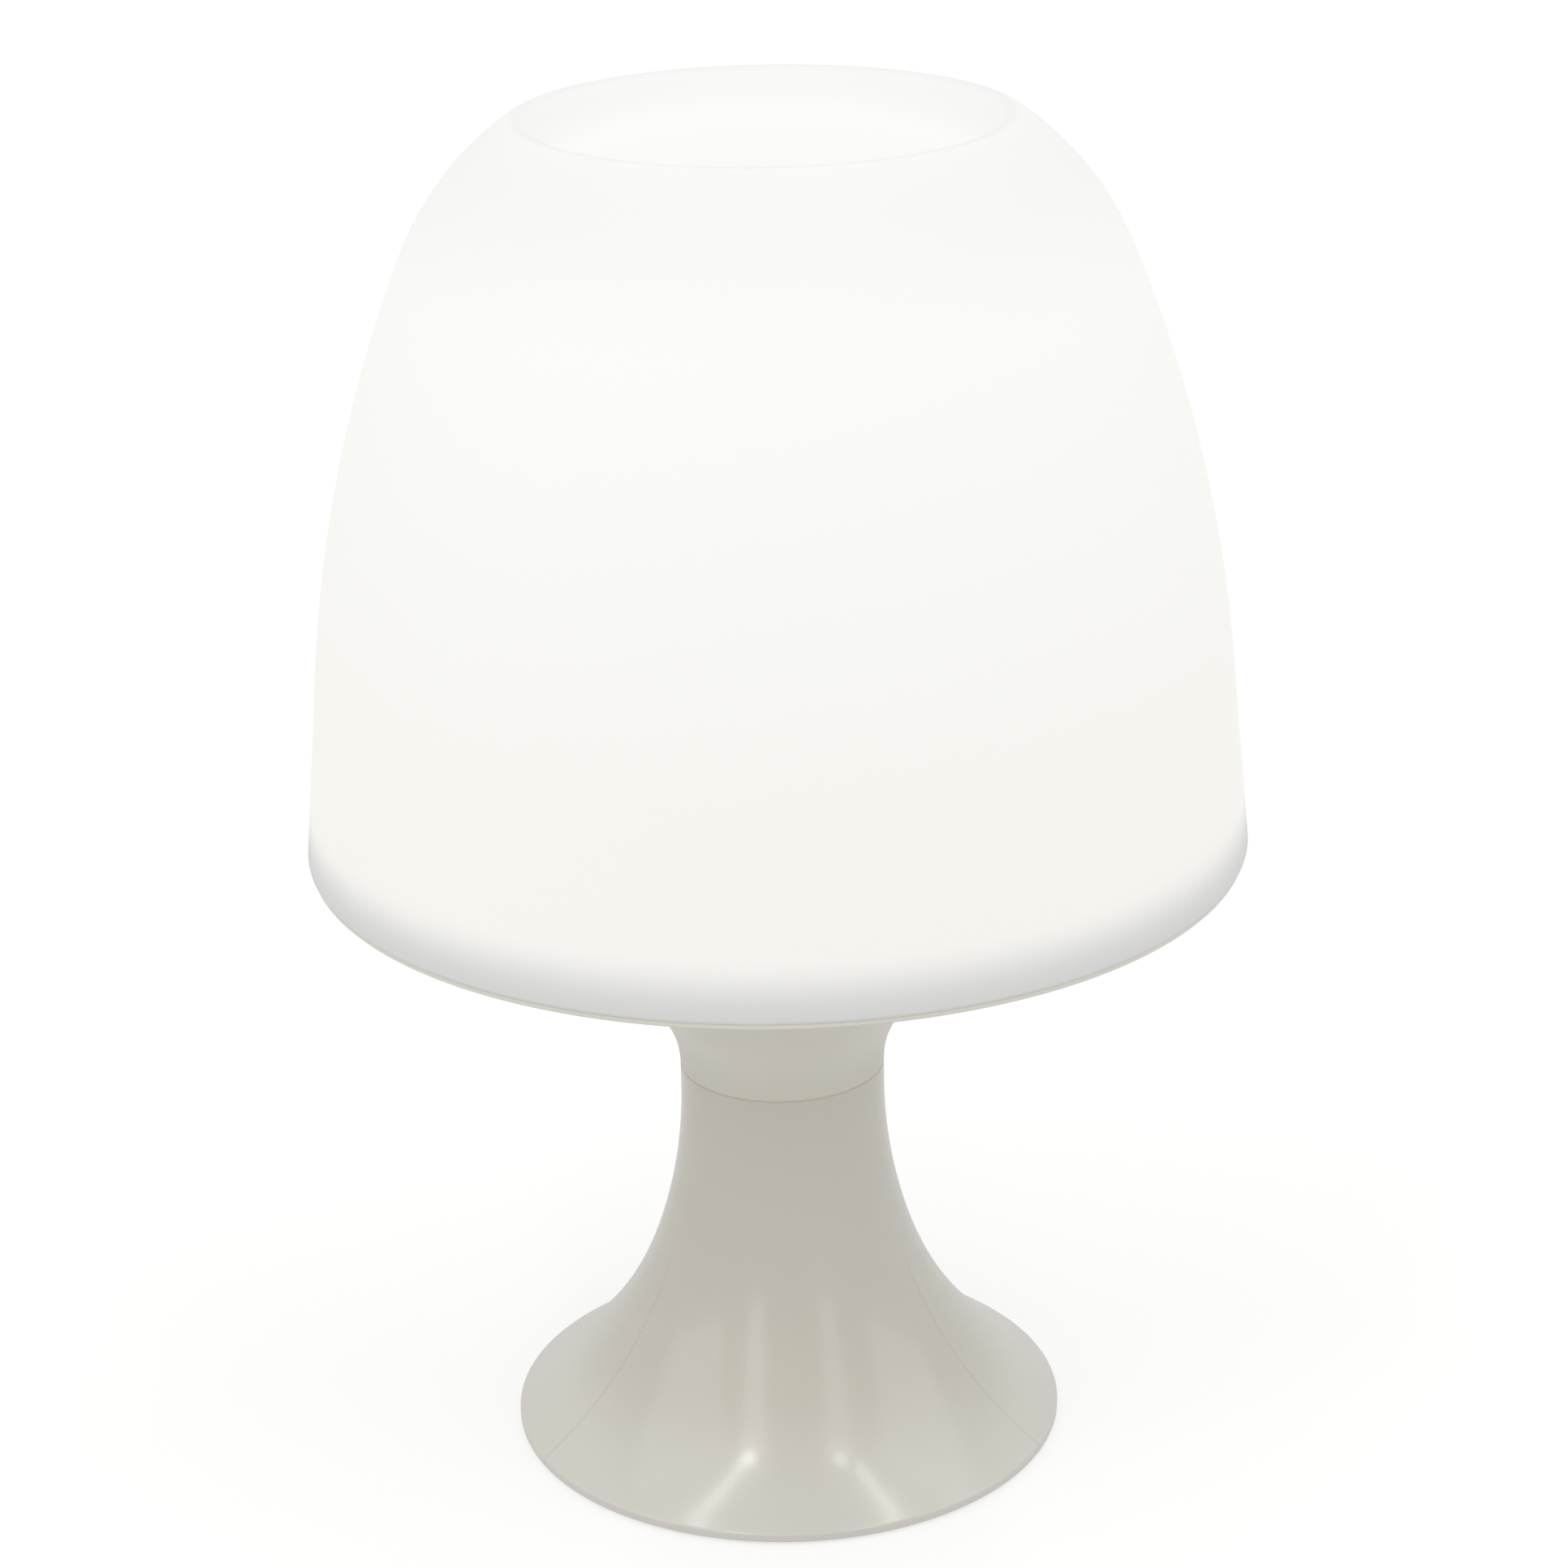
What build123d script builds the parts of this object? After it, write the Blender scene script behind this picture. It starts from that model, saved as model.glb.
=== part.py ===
from build123d import *
import os
from math import atan2, cos, degrees, hypot, radians, sin, sqrt, tan

# A cordless table lamp: a trumpet base, a funnel tray on its neck and a bell shade with a dished top.
# Lengths are millimetres and angles are degrees. The lamp's axis is Z and its feet stand on Z = 0.

# Overall form
lamp_height = 235.0
shade_radius = 80.0
shade_foot_height = 111.2
neck_radius = 17.8
base_radius = 48.5

# Fits between separate pieces
slip_gap = 0.3
screw_gap = 0.35
lock_play_angle = 1.5

# Base shell
base_wall = 2.0
rim_lift_height = 0.5
rim_top_height = 2.0
neck_length = 4.2
waist_angle = 19.4
foot_angle = 33.2
seam_chamfer_width = 0.3
terminal_gap = 2.1
diaphragm_thickness = 2.0
boss_radius = 3.5
boss_inset_width = 4.7
boss_count = 4
boss_hole_depth = 8.6
locating_rib_width = 1.5

# Base plate with its bayonet collar
plate_bottom_height = 1.2
plate_thickness = 2.0
plate_gap = 0.5
collar_wall = 3.3
collar_shelf_thickness = 1.9
counterbore_depth = 1.1
stake_radius = 0.9
stake_height = 1.9
stake_count = 3
stake_start_angle = 60

# Feet
foot_radius = 5.0
foot_inset_width = 2.2
foot_count = 4
foot_recess_depth = 0.8
foot_chamfer_width = 0.5

# Battery cover
cover_thickness = 3.2
lug_count = 3
lug_angle = 24.0
lug_reach_length = 1.9
lug_height = 1.4
lock_angle = 30.0
coin_length = 17.0
coin_width = 2.2
coin_depth = 1.3
pad_thickness = 1.0
pad_margin_width = 0.9

# Battery cells and the cartridge that holds them
cell_radius = 5.2
cell_length = 44.5
cell_nub_radius = 1.9
cell_nub_height = 1.0
cell_edge_radius = 0.4
cell_count = 3
cell_spacing_gap = 1.2
cell_gap = 0.2
end_thickness = 1.5
end_margin_width = 0.5
contact_thickness = 0.4
contact_width = 6.0
leaf_height = 2.6
leaf_length = 5.0
leaf_width = 3.4
strut_inner_radius = 6.7
strut_outer_radius = 10.9
strut_width = 7.0
strip_width = 3.0
button_radius = 2.4
ring_inner_radius = 9.2
ring_margin_width = 0.5

# Battery sleeve
sleeve_wall = 1.3
flange_thickness = 1.5
lane_offset = 2.8
lane_start_height = 15.0

# Terminals under the diaphragm
terminal_length = 9.0
terminal_width = 3.6
terminal_flat_length = 1.8
tag_radius = 0.7
tag_height = 1.6
tag_offset = 3.6
tab_width = 2.4

# Shade
shade_wall = 1.6
shade_edge_radius = 0.8
side_angle = 5.4
side_height = 32.6
shoulder_angle = 22.6
crest_angle = 55.4
crest_radius = 40.3
crest_round_radius = 3.0
dish_depth = 7.1
dish_slope = 60.0
dish_round_radius = 6.0
snap_count = 4
snap_width = 6.0
snap_height = 1.4
snap_depth = 0.8
snap_offset = 5.0

# Tray
tray_wall = 1.8
collar_slope = 47.0
brim_slope = 8.0
lip_height = 0.9
lip_setback_width = 0.6
tray_rim_height = 10.0
tray_rim_wall = 1.5
spigot_wall = 1.2
spigot_length = 8.1
spigot_gap = 0.35
web_gap = 2.5
web_thickness = 2.0
neck_boss_radius = 2.6
neck_boss_circle_radius = 11.0
neck_boss_hole_depth = 8.4
post_radius = 2.6
post_circle_radius = 13.0
post_height = 10.0
post_hole_depth = 8.4
fixing_count = 3
fixing_start_angle = 30.0

# Light source
board_radius = 17.0
board_thickness = 1.6
led_size = 5.0
led_height = 1.6
led_circle_radius = 11.6
led_count = 6
led_lens_radius = 2.0
led_lens_height = 0.3
resistor_length = 3.2
resistor_width = 1.6
resistor_height = 0.6
resistor_offset = 3.4

# Slide switch
switch_gap = 0.5
switch_length = 12.0
switch_width = 6.2
switch_height = 4.8
ear_length = 19.0
ear_thickness = 0.8
ear_pitch_length = 15.4
slider_length = 5.6
slider_width = 3.8
slider_height = 1.8
knob_length = 3.2
knob_width = 2.6
knob_ridges = 3
ridge_width = 0.4
ridge_depth = 0.25
slide_travel_length = 2.5
pin_radius = 0.6
pin_height = 1.4
pin_pitch_length = 5.0
thumb_margin_width = 2.4
thumb_depth = 0.6

# Wires
wire_radius = 0.65
wire_bend_radius = 3.0
wire_rise_height = 5.0
wire_climb_height = 9.0
wire_sway_offset = 2.4

# Screws
base_screw_head_radius = 2.6
base_screw_shank_radius = 1.3
base_screw_length = 8.0
base_screw_head_height = 1.0
small_screw_head_radius = 2.0
small_screw_shank_radius = 1.05
small_screw_length = 8.0
small_screw_head_height = 1.0
ear_screw_head_radius = 1.5
ear_screw_shank_radius = 0.8
ear_screw_length = 1.5
ear_screw_head_height = 0.8
screw_tip_length = 1.0
cross_length_share = 0.62
cross_width_share = 0.2
cross_depth = 0.5

# Heights that follow from the sizes above
plate_top_height = plate_bottom_height + plate_thickness
cover_top_height = plate_bottom_height + cover_thickness
shelf_bottom_height = cover_top_height + slip_gap
shelf_top_height = shelf_bottom_height + collar_shelf_thickness
cartridge_bottom_height = cover_top_height + pad_thickness
lower_contact_height = cartridge_bottom_height + end_thickness
lower_face_height = lower_contact_height + contact_thickness
upper_face_height = lower_face_height + leaf_height + cell_length
upper_contact_height = upper_face_height + contact_thickness
cartridge_top_height = upper_contact_height + end_thickness
ring_top_height = cartridge_top_height + contact_thickness
diaphragm_bottom_height = cartridge_top_height + terminal_gap
diaphragm_top_height = diaphragm_bottom_height + diaphragm_thickness
neck_top_height = diaphragm_top_height + spigot_length
web_bottom_height = neck_top_height + web_gap
web_top_height = web_bottom_height + web_thickness
board_bottom_height = web_top_height + post_height
board_top_height = board_bottom_height + board_thickness
head_seat_height = plate_bottom_height + counterbore_depth
lip_bottom_height = shade_foot_height - lip_height

# Radii that follow from the sizes above
cell_pitch_radius = (2 * cell_radius + cell_spacing_gap) / sqrt(3)
cartridge_radius = cell_pitch_radius + cell_radius + end_margin_width
sleeve_bore_radius = cartridge_radius + slip_gap
sleeve_radius = sleeve_bore_radius + sleeve_wall
cover_radius = sleeve_bore_radius + lug_reach_length + slip_gap
collar_bore_radius = cover_radius + slip_gap
collar_radius = collar_bore_radius + collar_wall
lug_radius = cover_radius + lug_reach_length
lug_pocket_radius = lug_radius + slip_gap
stake_circle_radius = sleeve_radius + (collar_radius - sleeve_radius) / 2
spigot_radius = neck_radius - base_wall - spigot_gap
lip_radius = shade_radius - lip_setback_width
lane_radius = sleeve_bore_radius + wire_radius
plate_drop = plate_top_height - rim_top_height + base_wall / cos(radians(foot_angle)) + plate_gap
plate_radius = base_radius - plate_drop / tan(radians(foot_angle))
boss_circle_radius = plate_radius - boss_radius - boss_inset_width
foot_circle_radius = plate_radius - foot_radius - foot_inset_width
switch_offset = collar_radius + switch_gap + switch_width / 2


def heading(angle):
    """Unit step in the direction of an angle measured from the outward axis."""
    return (cos(radians(angle)), sin(radians(angle)))


def around(radius, count, start, height):
    """Points spaced evenly round the lamp's axis at one height."""
    turns = [radians(start + 360 * step / count) for step in range(count)]
    return [(radius * cos(turn), radius * sin(turn), height) for turn in turns]


def two_arcs(start, end, angles):
    """Radii of two tangent arcs that leave start, turn left through three headings and meet end."""
    first, middle, last = [radians(angle) for angle in angles]
    across = end[0] - start[0]
    up = end[1] - start[1]
    first_across = sin(middle) - sin(first)
    first_up = cos(first) - cos(middle)
    last_across = sin(last) - sin(middle)
    last_up = cos(middle) - cos(last)
    area = first_across * last_up - last_across * first_up
    first_radius = (across * last_up - last_across * up) / area
    last_radius = (first_across * up - first_up * across) / area
    return first_radius, last_radius


def trumpet(inset):
    """Solid under the base's flaring surface, moved inwards by inset and open past the rim."""
    angles = (270, 270 + waist_angle, 360 - foot_angle)
    top = (neck_radius, neck_top_height - neck_length)
    upper, lower = two_arcs(top, (base_radius, rim_top_height), angles)
    with BuildPart() as made:
        with BuildSketch(Plane.XZ):
            with BuildLine():
                neck = Line((neck_radius - inset, neck_top_height), (neck_radius - inset, top[1]))
                waist = JernArc(neck @ 1, heading(angles[0]), upper + inset, angles[1] - angles[0])
                flare = JernArc(waist @ 1, heading(angles[1]), lower + inset, angles[2] - angles[1])
                end = flare @ 1
                Polyline(flare @ 1, (end.X, -base_wall), (0, -base_wall), (0, neck_top_height), neck @ 0)
            make_face()
        revolve(axis=Axis.Z)
    return made.part


def bell(inset):
    """Solid under the shade's outer surface, moved inwards by inset and drawn past its lower edge."""
    angles = (90 + side_angle, 90 + shoulder_angle, 90 + crest_angle)
    side_top = (shade_radius - side_height * tan(radians(side_angle)), shade_foot_height + side_height)
    crest_height = lamp_height - crest_round_radius
    crest_reach = crest_radius + crest_round_radius * cos(radians(crest_angle))
    crest_start = (crest_reach, crest_height + crest_round_radius * sin(radians(crest_angle)))
    side, shoulder = two_arcs(side_top, crest_start, angles)
    dish_angle = 180 + dish_slope
    curve_drop = (crest_round_radius + dish_round_radius) * (1 - cos(radians(dish_slope)))
    dish_wall = (dish_depth - curve_drop) / sin(radians(dish_slope))
    run = side_height + tray_wall
    foot_radius_out = side_top[0] + run * tan(radians(side_angle))
    inward = heading(180 + side_angle)
    foot = (foot_radius_out + inset * inward[0], shade_foot_height - tray_wall + inset * inward[1])
    with BuildPart() as made:
        with BuildSketch(Plane.XZ):
            with BuildLine():
                cone = PolarLine(foot, run / cos(radians(side_angle)), angles[0])
                flank = JernArc(cone @ 1, heading(angles[0]), side - inset, angles[1] - angles[0])
                brow = JernArc(flank @ 1, heading(angles[1]), shoulder - inset, angles[2] - angles[1])
                crest_turn = dish_angle - angles[2]
                crest = JernArc(brow @ 1, heading(angles[2]), crest_round_radius - inset, crest_turn)
                wall = PolarLine(crest @ 1, dish_wall, dish_angle)
                bowl = JernArc(wall @ 1, heading(dish_angle), dish_round_radius + inset, -dish_slope)
                floor = bowl @ 1
                Polyline(floor, (0, floor.Y), (0, foot[1]), foot)
            make_face()
        revolve(axis=Axis.Z)
    return made.part


def funnel(inset):
    """Solid above the tray's outer surface, moved inwards by inset and drawn past its lip."""
    angles = (180 + brim_slope, 180 + collar_slope, 270)
    brim, collar = two_arcs((lip_radius, lip_bottom_height), (neck_radius, neck_top_height), angles)
    with BuildPart() as made:
        with BuildSketch(Plane.XZ):
            with BuildLine():
                foot = (neck_radius - inset, neck_top_height)
                bend = JernArc(foot, (0, 1), collar + inset, collar_slope - 90)
                flare = JernArc(bend @ 1, heading(collar_slope), brim + inset, brim_slope - collar_slope)
                edge = PolarLine(flare @ 1, lip_radius, brim_slope)
                end = edge @ 1
                Polyline(end, (0, end.Y), (0, neck_top_height), bend @ 0)
            make_face()
        revolve(axis=Axis.Z)
    return made.part


def sector(inner, outer, start, span):
    """Part of a ring between two radii, from a start angle over a span."""
    with BuildSketch() as made:
        with BuildLine():
            low = CenterArc((0, 0), inner, start, span)
            high = CenterArc((0, 0), outer, start, span)
            Line(low @ 0, high @ 0)
            Line(low @ 1, high @ 1)
        make_face()
    return made.sketch


def screw(head_radius, head_height, shank_radius, length, sense):
    """Pan-head screw seated on Z = 0, its shank along Z in the given sense."""
    head_top = -sense * head_height
    cone_start = sense * (length - screw_tip_length)
    with BuildPart() as made:
        with BuildSketch(Plane.XZ):
            with BuildLine():
                head_edge = (head_radius, head_top)
                outline = Polyline((0, head_top), head_edge, (head_radius, 0), (shank_radius, 0))
                point = Polyline(outline @ 1, (shank_radius, cone_start), (0, sense * length))
                Line(point @ 1, outline @ 0)
            make_face()
        revolve(axis=Axis.Z)
        with BuildSketch(Plane.XY.offset(head_top)):
            Rectangle(2 * head_radius * cross_length_share, 2 * head_radius * cross_width_share)
            Rectangle(2 * head_radius * cross_width_share, 2 * head_radius * cross_length_share)
        extrude(amount=sense * cross_depth, mode=Mode.SUBTRACT)
    return made.part


def cell(turned):
    """Battery cell standing on Z = 0 with its nub up, or turned over with its nub down."""
    shoulder = cell_length - cell_nub_height
    with BuildPart() as made:
        with BuildSketch(Plane.XY):
            Circle(cell_radius)
        extrude(amount=shoulder)
        fillet(made.edges(), radius=cell_edge_radius)
        with BuildSketch(Plane.XY.offset(shoulder)):
            Circle(cell_nub_radius)
        extrude(amount=cell_nub_height)
    if turned:
        return Location((0, 0, cell_length), (180, 0, 0)) * made.part
    return made.part


def leaf(length, rise, width):
    """Bowed contact strip lying on Z = 0 along X, its bow standing up by rise."""
    lift = contact_thickness / 2
    half = length / 2
    with BuildPart() as made:
        with BuildSketch(Plane.XZ):
            with BuildLine():
                left = Line((-half - terminal_flat_length, lift), (-half, lift))
                bow = ThreePointArc(left @ 1, (0, rise - lift), (half, lift))
                Line(bow @ 1, (half + terminal_flat_length, lift))
            trace(line_width=contact_thickness)
        extrude(amount=width / 2, both=True)
    return made.part


def wire(points):
    """Insulated wire through the given points with rounded bends."""
    with BuildPart() as made:
        with BuildLine() as route:
            FilletPolyline(*points, radius=wire_bend_radius)
        with BuildSketch(Plane(route.line @ 0, z_dir=route.line % 0)):
            Circle(wire_radius)
        sweep()
    return made.part


# The four kinds of screw
base_screw = screw(
    base_screw_head_radius,
    base_screw_head_height,
    base_screw_shank_radius,
    base_screw_length,
    1,
)
neck_screw = screw(
    small_screw_head_radius,
    small_screw_head_height,
    small_screw_shank_radius,
    small_screw_length,
    1,
)
board_screw = screw(
    small_screw_head_radius,
    small_screw_head_height,
    small_screw_shank_radius,
    small_screw_length,
    -1,
)
ear_screw = screw(
    ear_screw_head_radius,
    ear_screw_head_height,
    ear_screw_shank_radius,
    ear_screw_length,
    -1,
)

# Ribs and bosses inside the base, trimmed to end within its wall
with BuildPart() as base_ribs:
    with BuildSketch(Plane.XY.offset(plate_bottom_height)):
        Circle(plate_radius + slip_gap + locating_rib_width)
        Circle(plate_radius + slip_gap, mode=Mode.SUBTRACT)
    extrude(amount=neck_top_height - plate_bottom_height)
    with BuildSketch(Plane.XY.offset(plate_top_height)):
        with PolarLocations(boss_circle_radius, boss_count):
            Circle(boss_radius)
    extrude(amount=neck_top_height - plate_top_height)
    add(trumpet(base_wall / 2), mode=Mode.INTERSECT)

# Base shell: a thin trumpet with a diaphragm near the top of its neck
with BuildPart() as base_shell:
    add(trumpet(0))
    chamfer(base_shell.edges().filter_by(GeomType.CIRCLE).sort_by(Axis.Z)[-1], length=seam_chamfer_width)
    add(trumpet(base_wall), mode=Mode.SUBTRACT)
    split(bisect_by=Plane.XY.offset(rim_lift_height), keep=Keep.TOP)
    add(base_ribs.part)
    with BuildSketch(Plane.XY.offset(diaphragm_bottom_height)):
        Circle(neck_radius - base_wall / 2)
    extrude(amount=diaphragm_thickness)
    with BuildSketch(Plane.XY.offset(plate_top_height)):
        with PolarLocations(boss_circle_radius, boss_count):
            Circle(base_screw_shank_radius + screw_gap)
    extrude(amount=boss_hole_depth, mode=Mode.SUBTRACT)
    with BuildSketch(Plane.XY.offset(diaphragm_bottom_height)):
        with PolarLocations(neck_boss_circle_radius, fixing_count, fixing_start_angle):
            Circle(small_screw_shank_radius + screw_gap)
        with Locations((tag_offset, 0)):
            Circle(tag_radius + slip_gap)
        with Locations((lane_offset, lane_radius)):
            Circle(wire_radius + slip_gap)
    extrude(amount=diaphragm_thickness, mode=Mode.SUBTRACT)
base_shell.part.label = "base_shell"

# Base plate with the bayonet collar for the battery cover
with BuildPart() as base_plate:
    with BuildSketch(Plane.XY.offset(plate_bottom_height)):
        Circle(plate_radius)
    extrude(amount=plate_thickness)
    with BuildSketch(Plane.XY.offset(plate_bottom_height)):
        Circle(collar_radius)
    extrude(amount=shelf_top_height - plate_bottom_height)
    with BuildSketch(Plane.XY.offset(shelf_top_height)):
        with PolarLocations(stake_circle_radius, stake_count, stake_start_angle):
            Circle(stake_radius)
    extrude(amount=stake_height)
    with BuildSketch(Plane.XY.offset(plate_bottom_height)):
        Circle(collar_bore_radius)
    extrude(amount=shelf_bottom_height - plate_bottom_height, mode=Mode.SUBTRACT)
    with BuildSketch(Plane.XY.offset(shelf_bottom_height)):
        Circle(sleeve_bore_radius)
    extrude(amount=collar_shelf_thickness, mode=Mode.SUBTRACT)
    for index in range(lug_count):
        centre = 360 * index / lug_count
        with BuildSketch(Plane.XY.offset(cover_top_height - lug_height)):
            channel = lock_angle + lug_angle + 2 * lock_play_angle
            channel_start = centre - lock_angle - lug_angle / 2 - lock_play_angle
            add(sector(sleeve_bore_radius, lug_pocket_radius, channel_start, channel))
        extrude(amount=lug_height + slip_gap, mode=Mode.SUBTRACT)
        with BuildSketch(Plane.XY.offset(plate_bottom_height)):
            entry = lug_angle + 2 * lock_play_angle
            add(sector(sleeve_bore_radius, lug_pocket_radius, centre - lock_angle - entry / 2, entry))
        extrude(amount=cover_thickness, mode=Mode.SUBTRACT)
    with BuildSketch(Plane.XY.offset(plate_bottom_height)):
        with PolarLocations(boss_circle_radius, boss_count):
            Circle(base_screw_head_radius + screw_gap)
    extrude(amount=counterbore_depth, mode=Mode.SUBTRACT)
    with BuildSketch(Plane.XY.offset(plate_bottom_height)):
        with PolarLocations(boss_circle_radius, boss_count):
            Circle(base_screw_shank_radius + screw_gap)
    extrude(amount=plate_thickness, mode=Mode.SUBTRACT)
    with BuildSketch(Plane.XY.offset(plate_bottom_height)):
        with PolarLocations(foot_circle_radius, foot_count, 180 / foot_count):
            Circle(foot_radius + slip_gap)
    extrude(amount=foot_recess_depth, mode=Mode.SUBTRACT)
    with BuildSketch(Plane.XY.offset(plate_bottom_height)):
        with Locations((0, switch_offset)):
            thumb_length = knob_length + slide_travel_length + 2 * thumb_margin_width
            SlotOverall(thumb_length, knob_width + 2 * thumb_margin_width)
    extrude(amount=thumb_depth, mode=Mode.SUBTRACT)
    with BuildSketch(Plane.XY.offset(plate_bottom_height)):
        with Locations((0, switch_offset)):
            Rectangle(knob_length + slide_travel_length + 2 * slip_gap, knob_width + 2 * slip_gap)
    extrude(amount=plate_thickness, mode=Mode.SUBTRACT)
    with BuildSketch(Plane.XY.offset(plate_top_height)):
        with Locations((-ear_pitch_length / 2, switch_offset), (ear_pitch_length / 2, switch_offset)):
            Circle(ear_screw_shank_radius + screw_gap)
    extrude(amount=-plate_thickness / 2, mode=Mode.SUBTRACT)
base_plate.part.label = "base_plate"

# Rubber feet in the plate's shallow recesses
with BuildPart() as feet:
    with BuildSketch(Plane.XY):
        with PolarLocations(foot_circle_radius, foot_count, 180 / foot_count):
            Circle(foot_radius)
    extrude(amount=plate_bottom_height + foot_recess_depth)
    chamfer(feet.edges().group_by(Axis.Z)[0], length=foot_chamfer_width)
feet.part.label = "feet"

# Screws that hold the base plate to the shell
with BuildPart() as base_plate_screws:
    with Locations(*around(boss_circle_radius, boss_count, 0, head_seat_height)):
        add(base_screw)
base_plate_screws.part.label = "base_plate_screws"

# Battery cover with bayonet lugs and a coin slot
with BuildPart() as battery_cover:
    with BuildSketch(Plane.XY.offset(plate_bottom_height)):
        Circle(cover_radius)
    extrude(amount=cover_thickness)
    for index in range(lug_count):
        with BuildSketch(Plane.XY.offset(cover_top_height - lug_height)):
            add(sector(sleeve_bore_radius, lug_radius, 360 * index / lug_count - lug_angle / 2, lug_angle))
        extrude(amount=lug_height)
    with BuildSketch(Plane.XY.offset(plate_bottom_height)):
        SlotOverall(coin_length, coin_width)
    extrude(amount=coin_depth, mode=Mode.SUBTRACT)
battery_cover.part.label = "battery_cover"

# Foam pad on the cover, pressing the cartridge up
with BuildPart() as cover_pad:
    with BuildSketch(Plane.XY.offset(cover_top_height)):
        Circle(cartridge_radius - pad_margin_width)
    extrude(amount=pad_thickness)
cover_pad.part.label = "cover_pad"

# Battery sleeve on the collar, with two lanes for the wires
with BuildPart() as battery_sleeve:
    with BuildSketch(Plane.XY.offset(shelf_top_height)):
        Circle(collar_radius)
    extrude(amount=flange_thickness)
    with BuildSketch(Plane.XY.offset(shelf_top_height)):
        Circle(sleeve_radius)
    extrude(amount=cartridge_top_height - shelf_top_height)
    with BuildSketch(Plane.XY.offset(shelf_top_height)):
        Circle(sleeve_bore_radius)
    extrude(amount=cartridge_top_height - shelf_top_height, mode=Mode.SUBTRACT)
    with BuildSketch(Plane.XY.offset(shelf_top_height)):
        with PolarLocations(stake_circle_radius, stake_count, stake_start_angle):
            Circle(stake_radius + slip_gap)
    extrude(amount=flange_thickness, mode=Mode.SUBTRACT)
    with BuildSketch(Plane.XY.offset(lane_start_height)):
        with Locations((-lane_offset, lane_radius), (lane_offset, lane_radius)):
            Rectangle(2 * (wire_radius + slip_gap), 2 * (sleeve_wall + slip_gap))
    extrude(amount=cartridge_top_height - lane_start_height, mode=Mode.SUBTRACT)
battery_sleeve.part.label = "battery_sleeve"

# Cartridge frame: two end discs joined by three struts between the cells
cell_points = around(cell_pitch_radius, cell_count, fixing_start_angle, 0)
strip_angle = fixing_start_angle + 180
strip_step = heading(strip_angle)
strip_offset = strut_outer_radius + contact_thickness / 2
strip_point = (strip_offset * strip_step[0], strip_offset * strip_step[1])
tongue_run = (strip_point[0] - cell_points[2][0], strip_point[1] - cell_points[2][1])
tongue_middle = (cell_points[2][0] + tongue_run[0] / 2, cell_points[2][1] + tongue_run[1] / 2)
tongue_turn = degrees(atan2(tongue_run[1], tongue_run[0]))
with BuildPart() as cartridge_frame:
    with BuildSketch(Plane.XY.offset(cartridge_bottom_height)):
        Circle(cartridge_radius)
    extrude(amount=end_thickness)
    with BuildSketch(Plane.XY.offset(upper_contact_height)):
        Circle(cartridge_radius)
    extrude(amount=end_thickness)
    with BuildSketch(Plane.XY.offset(lower_contact_height)):
        with PolarLocations((strut_inner_radius + strut_outer_radius) / 2, cell_count, strip_angle):
            Rectangle(strut_outer_radius - strut_inner_radius, strut_width)
        with Locations(*cell_points):
            Circle(cell_radius + cell_gap, mode=Mode.SUBTRACT)
    extrude(amount=upper_contact_height - lower_contact_height)
    with BuildSketch(Plane.XY.offset(upper_contact_height)):
        with Locations(strip_point):
            Rectangle(contact_thickness + 2 * slip_gap, strip_width + 2 * slip_gap, rotation=strip_angle)
        with Locations(cell_points[0]):
            Circle(cell_nub_radius / 2 + slip_gap)
    extrude(amount=end_thickness, mode=Mode.SUBTRACT)
    with BuildSketch(Plane.XY.offset(lower_contact_height)):
        with Locations(tongue_middle):
            SlotCenterToCenter(hypot(*tongue_run), strip_width + 2 * slip_gap, rotation=tongue_turn)
    extrude(amount=contact_thickness + slip_gap, mode=Mode.SUBTRACT)
cartridge_frame.part.label = "cartridge_frame"

# The three cells, the middle one turned over
with BuildPart() as battery_cell_a:
    with Locations((cell_points[0][0], cell_points[0][1], lower_face_height + leaf_height)):
        add(cell(False))
battery_cell_a.part.label = "battery_cell_a"

with BuildPart() as battery_cell_b:
    with Locations((cell_points[1][0], cell_points[1][1], lower_face_height)):
        add(cell(True))
battery_cell_b.part.label = "battery_cell_b"

with BuildPart() as battery_cell_c:
    with Locations((cell_points[2][0], cell_points[2][1], lower_face_height + leaf_height)):
        add(cell(False))
battery_cell_c.part.label = "battery_cell_c"

# Contact plates inside the cartridge, each with a bowed leaf where a cell's flat end presses
middle_ab = ((cell_points[0][0] + cell_points[1][0]) / 2, (cell_points[0][1] + cell_points[1][1]) / 2)
middle_bc = ((cell_points[1][0] + cell_points[2][0]) / 2, (cell_points[1][1] + cell_points[2][1]) / 2)
turn_ab = degrees(atan2(cell_points[1][1] - cell_points[0][1], cell_points[1][0] - cell_points[0][0]))
turn_bc = degrees(atan2(cell_points[2][1] - cell_points[1][1], cell_points[2][0] - cell_points[1][0]))
cell_spacing = 2 * cell_radius + cell_spacing_gap
leaf_turn_a = Location((cell_points[0][0], cell_points[0][1], lower_face_height), (0, 0, turn_ab))
leaf_turn_b = Location((cell_points[1][0], cell_points[1][1], upper_face_height), (180, 0, turn_bc))
leaf_turn_c = Location((cell_points[2][0], cell_points[2][1], lower_face_height), (0, 0, turn_bc))
inner_leaf = leaf(leaf_length, leaf_height, leaf_width)

with BuildPart() as lower_bridge:
    with BuildSketch(Plane.XY.offset(lower_contact_height)):
        with Locations(middle_ab):
            SlotCenterToCenter(cell_spacing, contact_width, rotation=turn_ab)
    extrude(amount=contact_thickness)
    with Locations(leaf_turn_a):
        add(inner_leaf)
lower_bridge.part.label = "lower_bridge"

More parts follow.
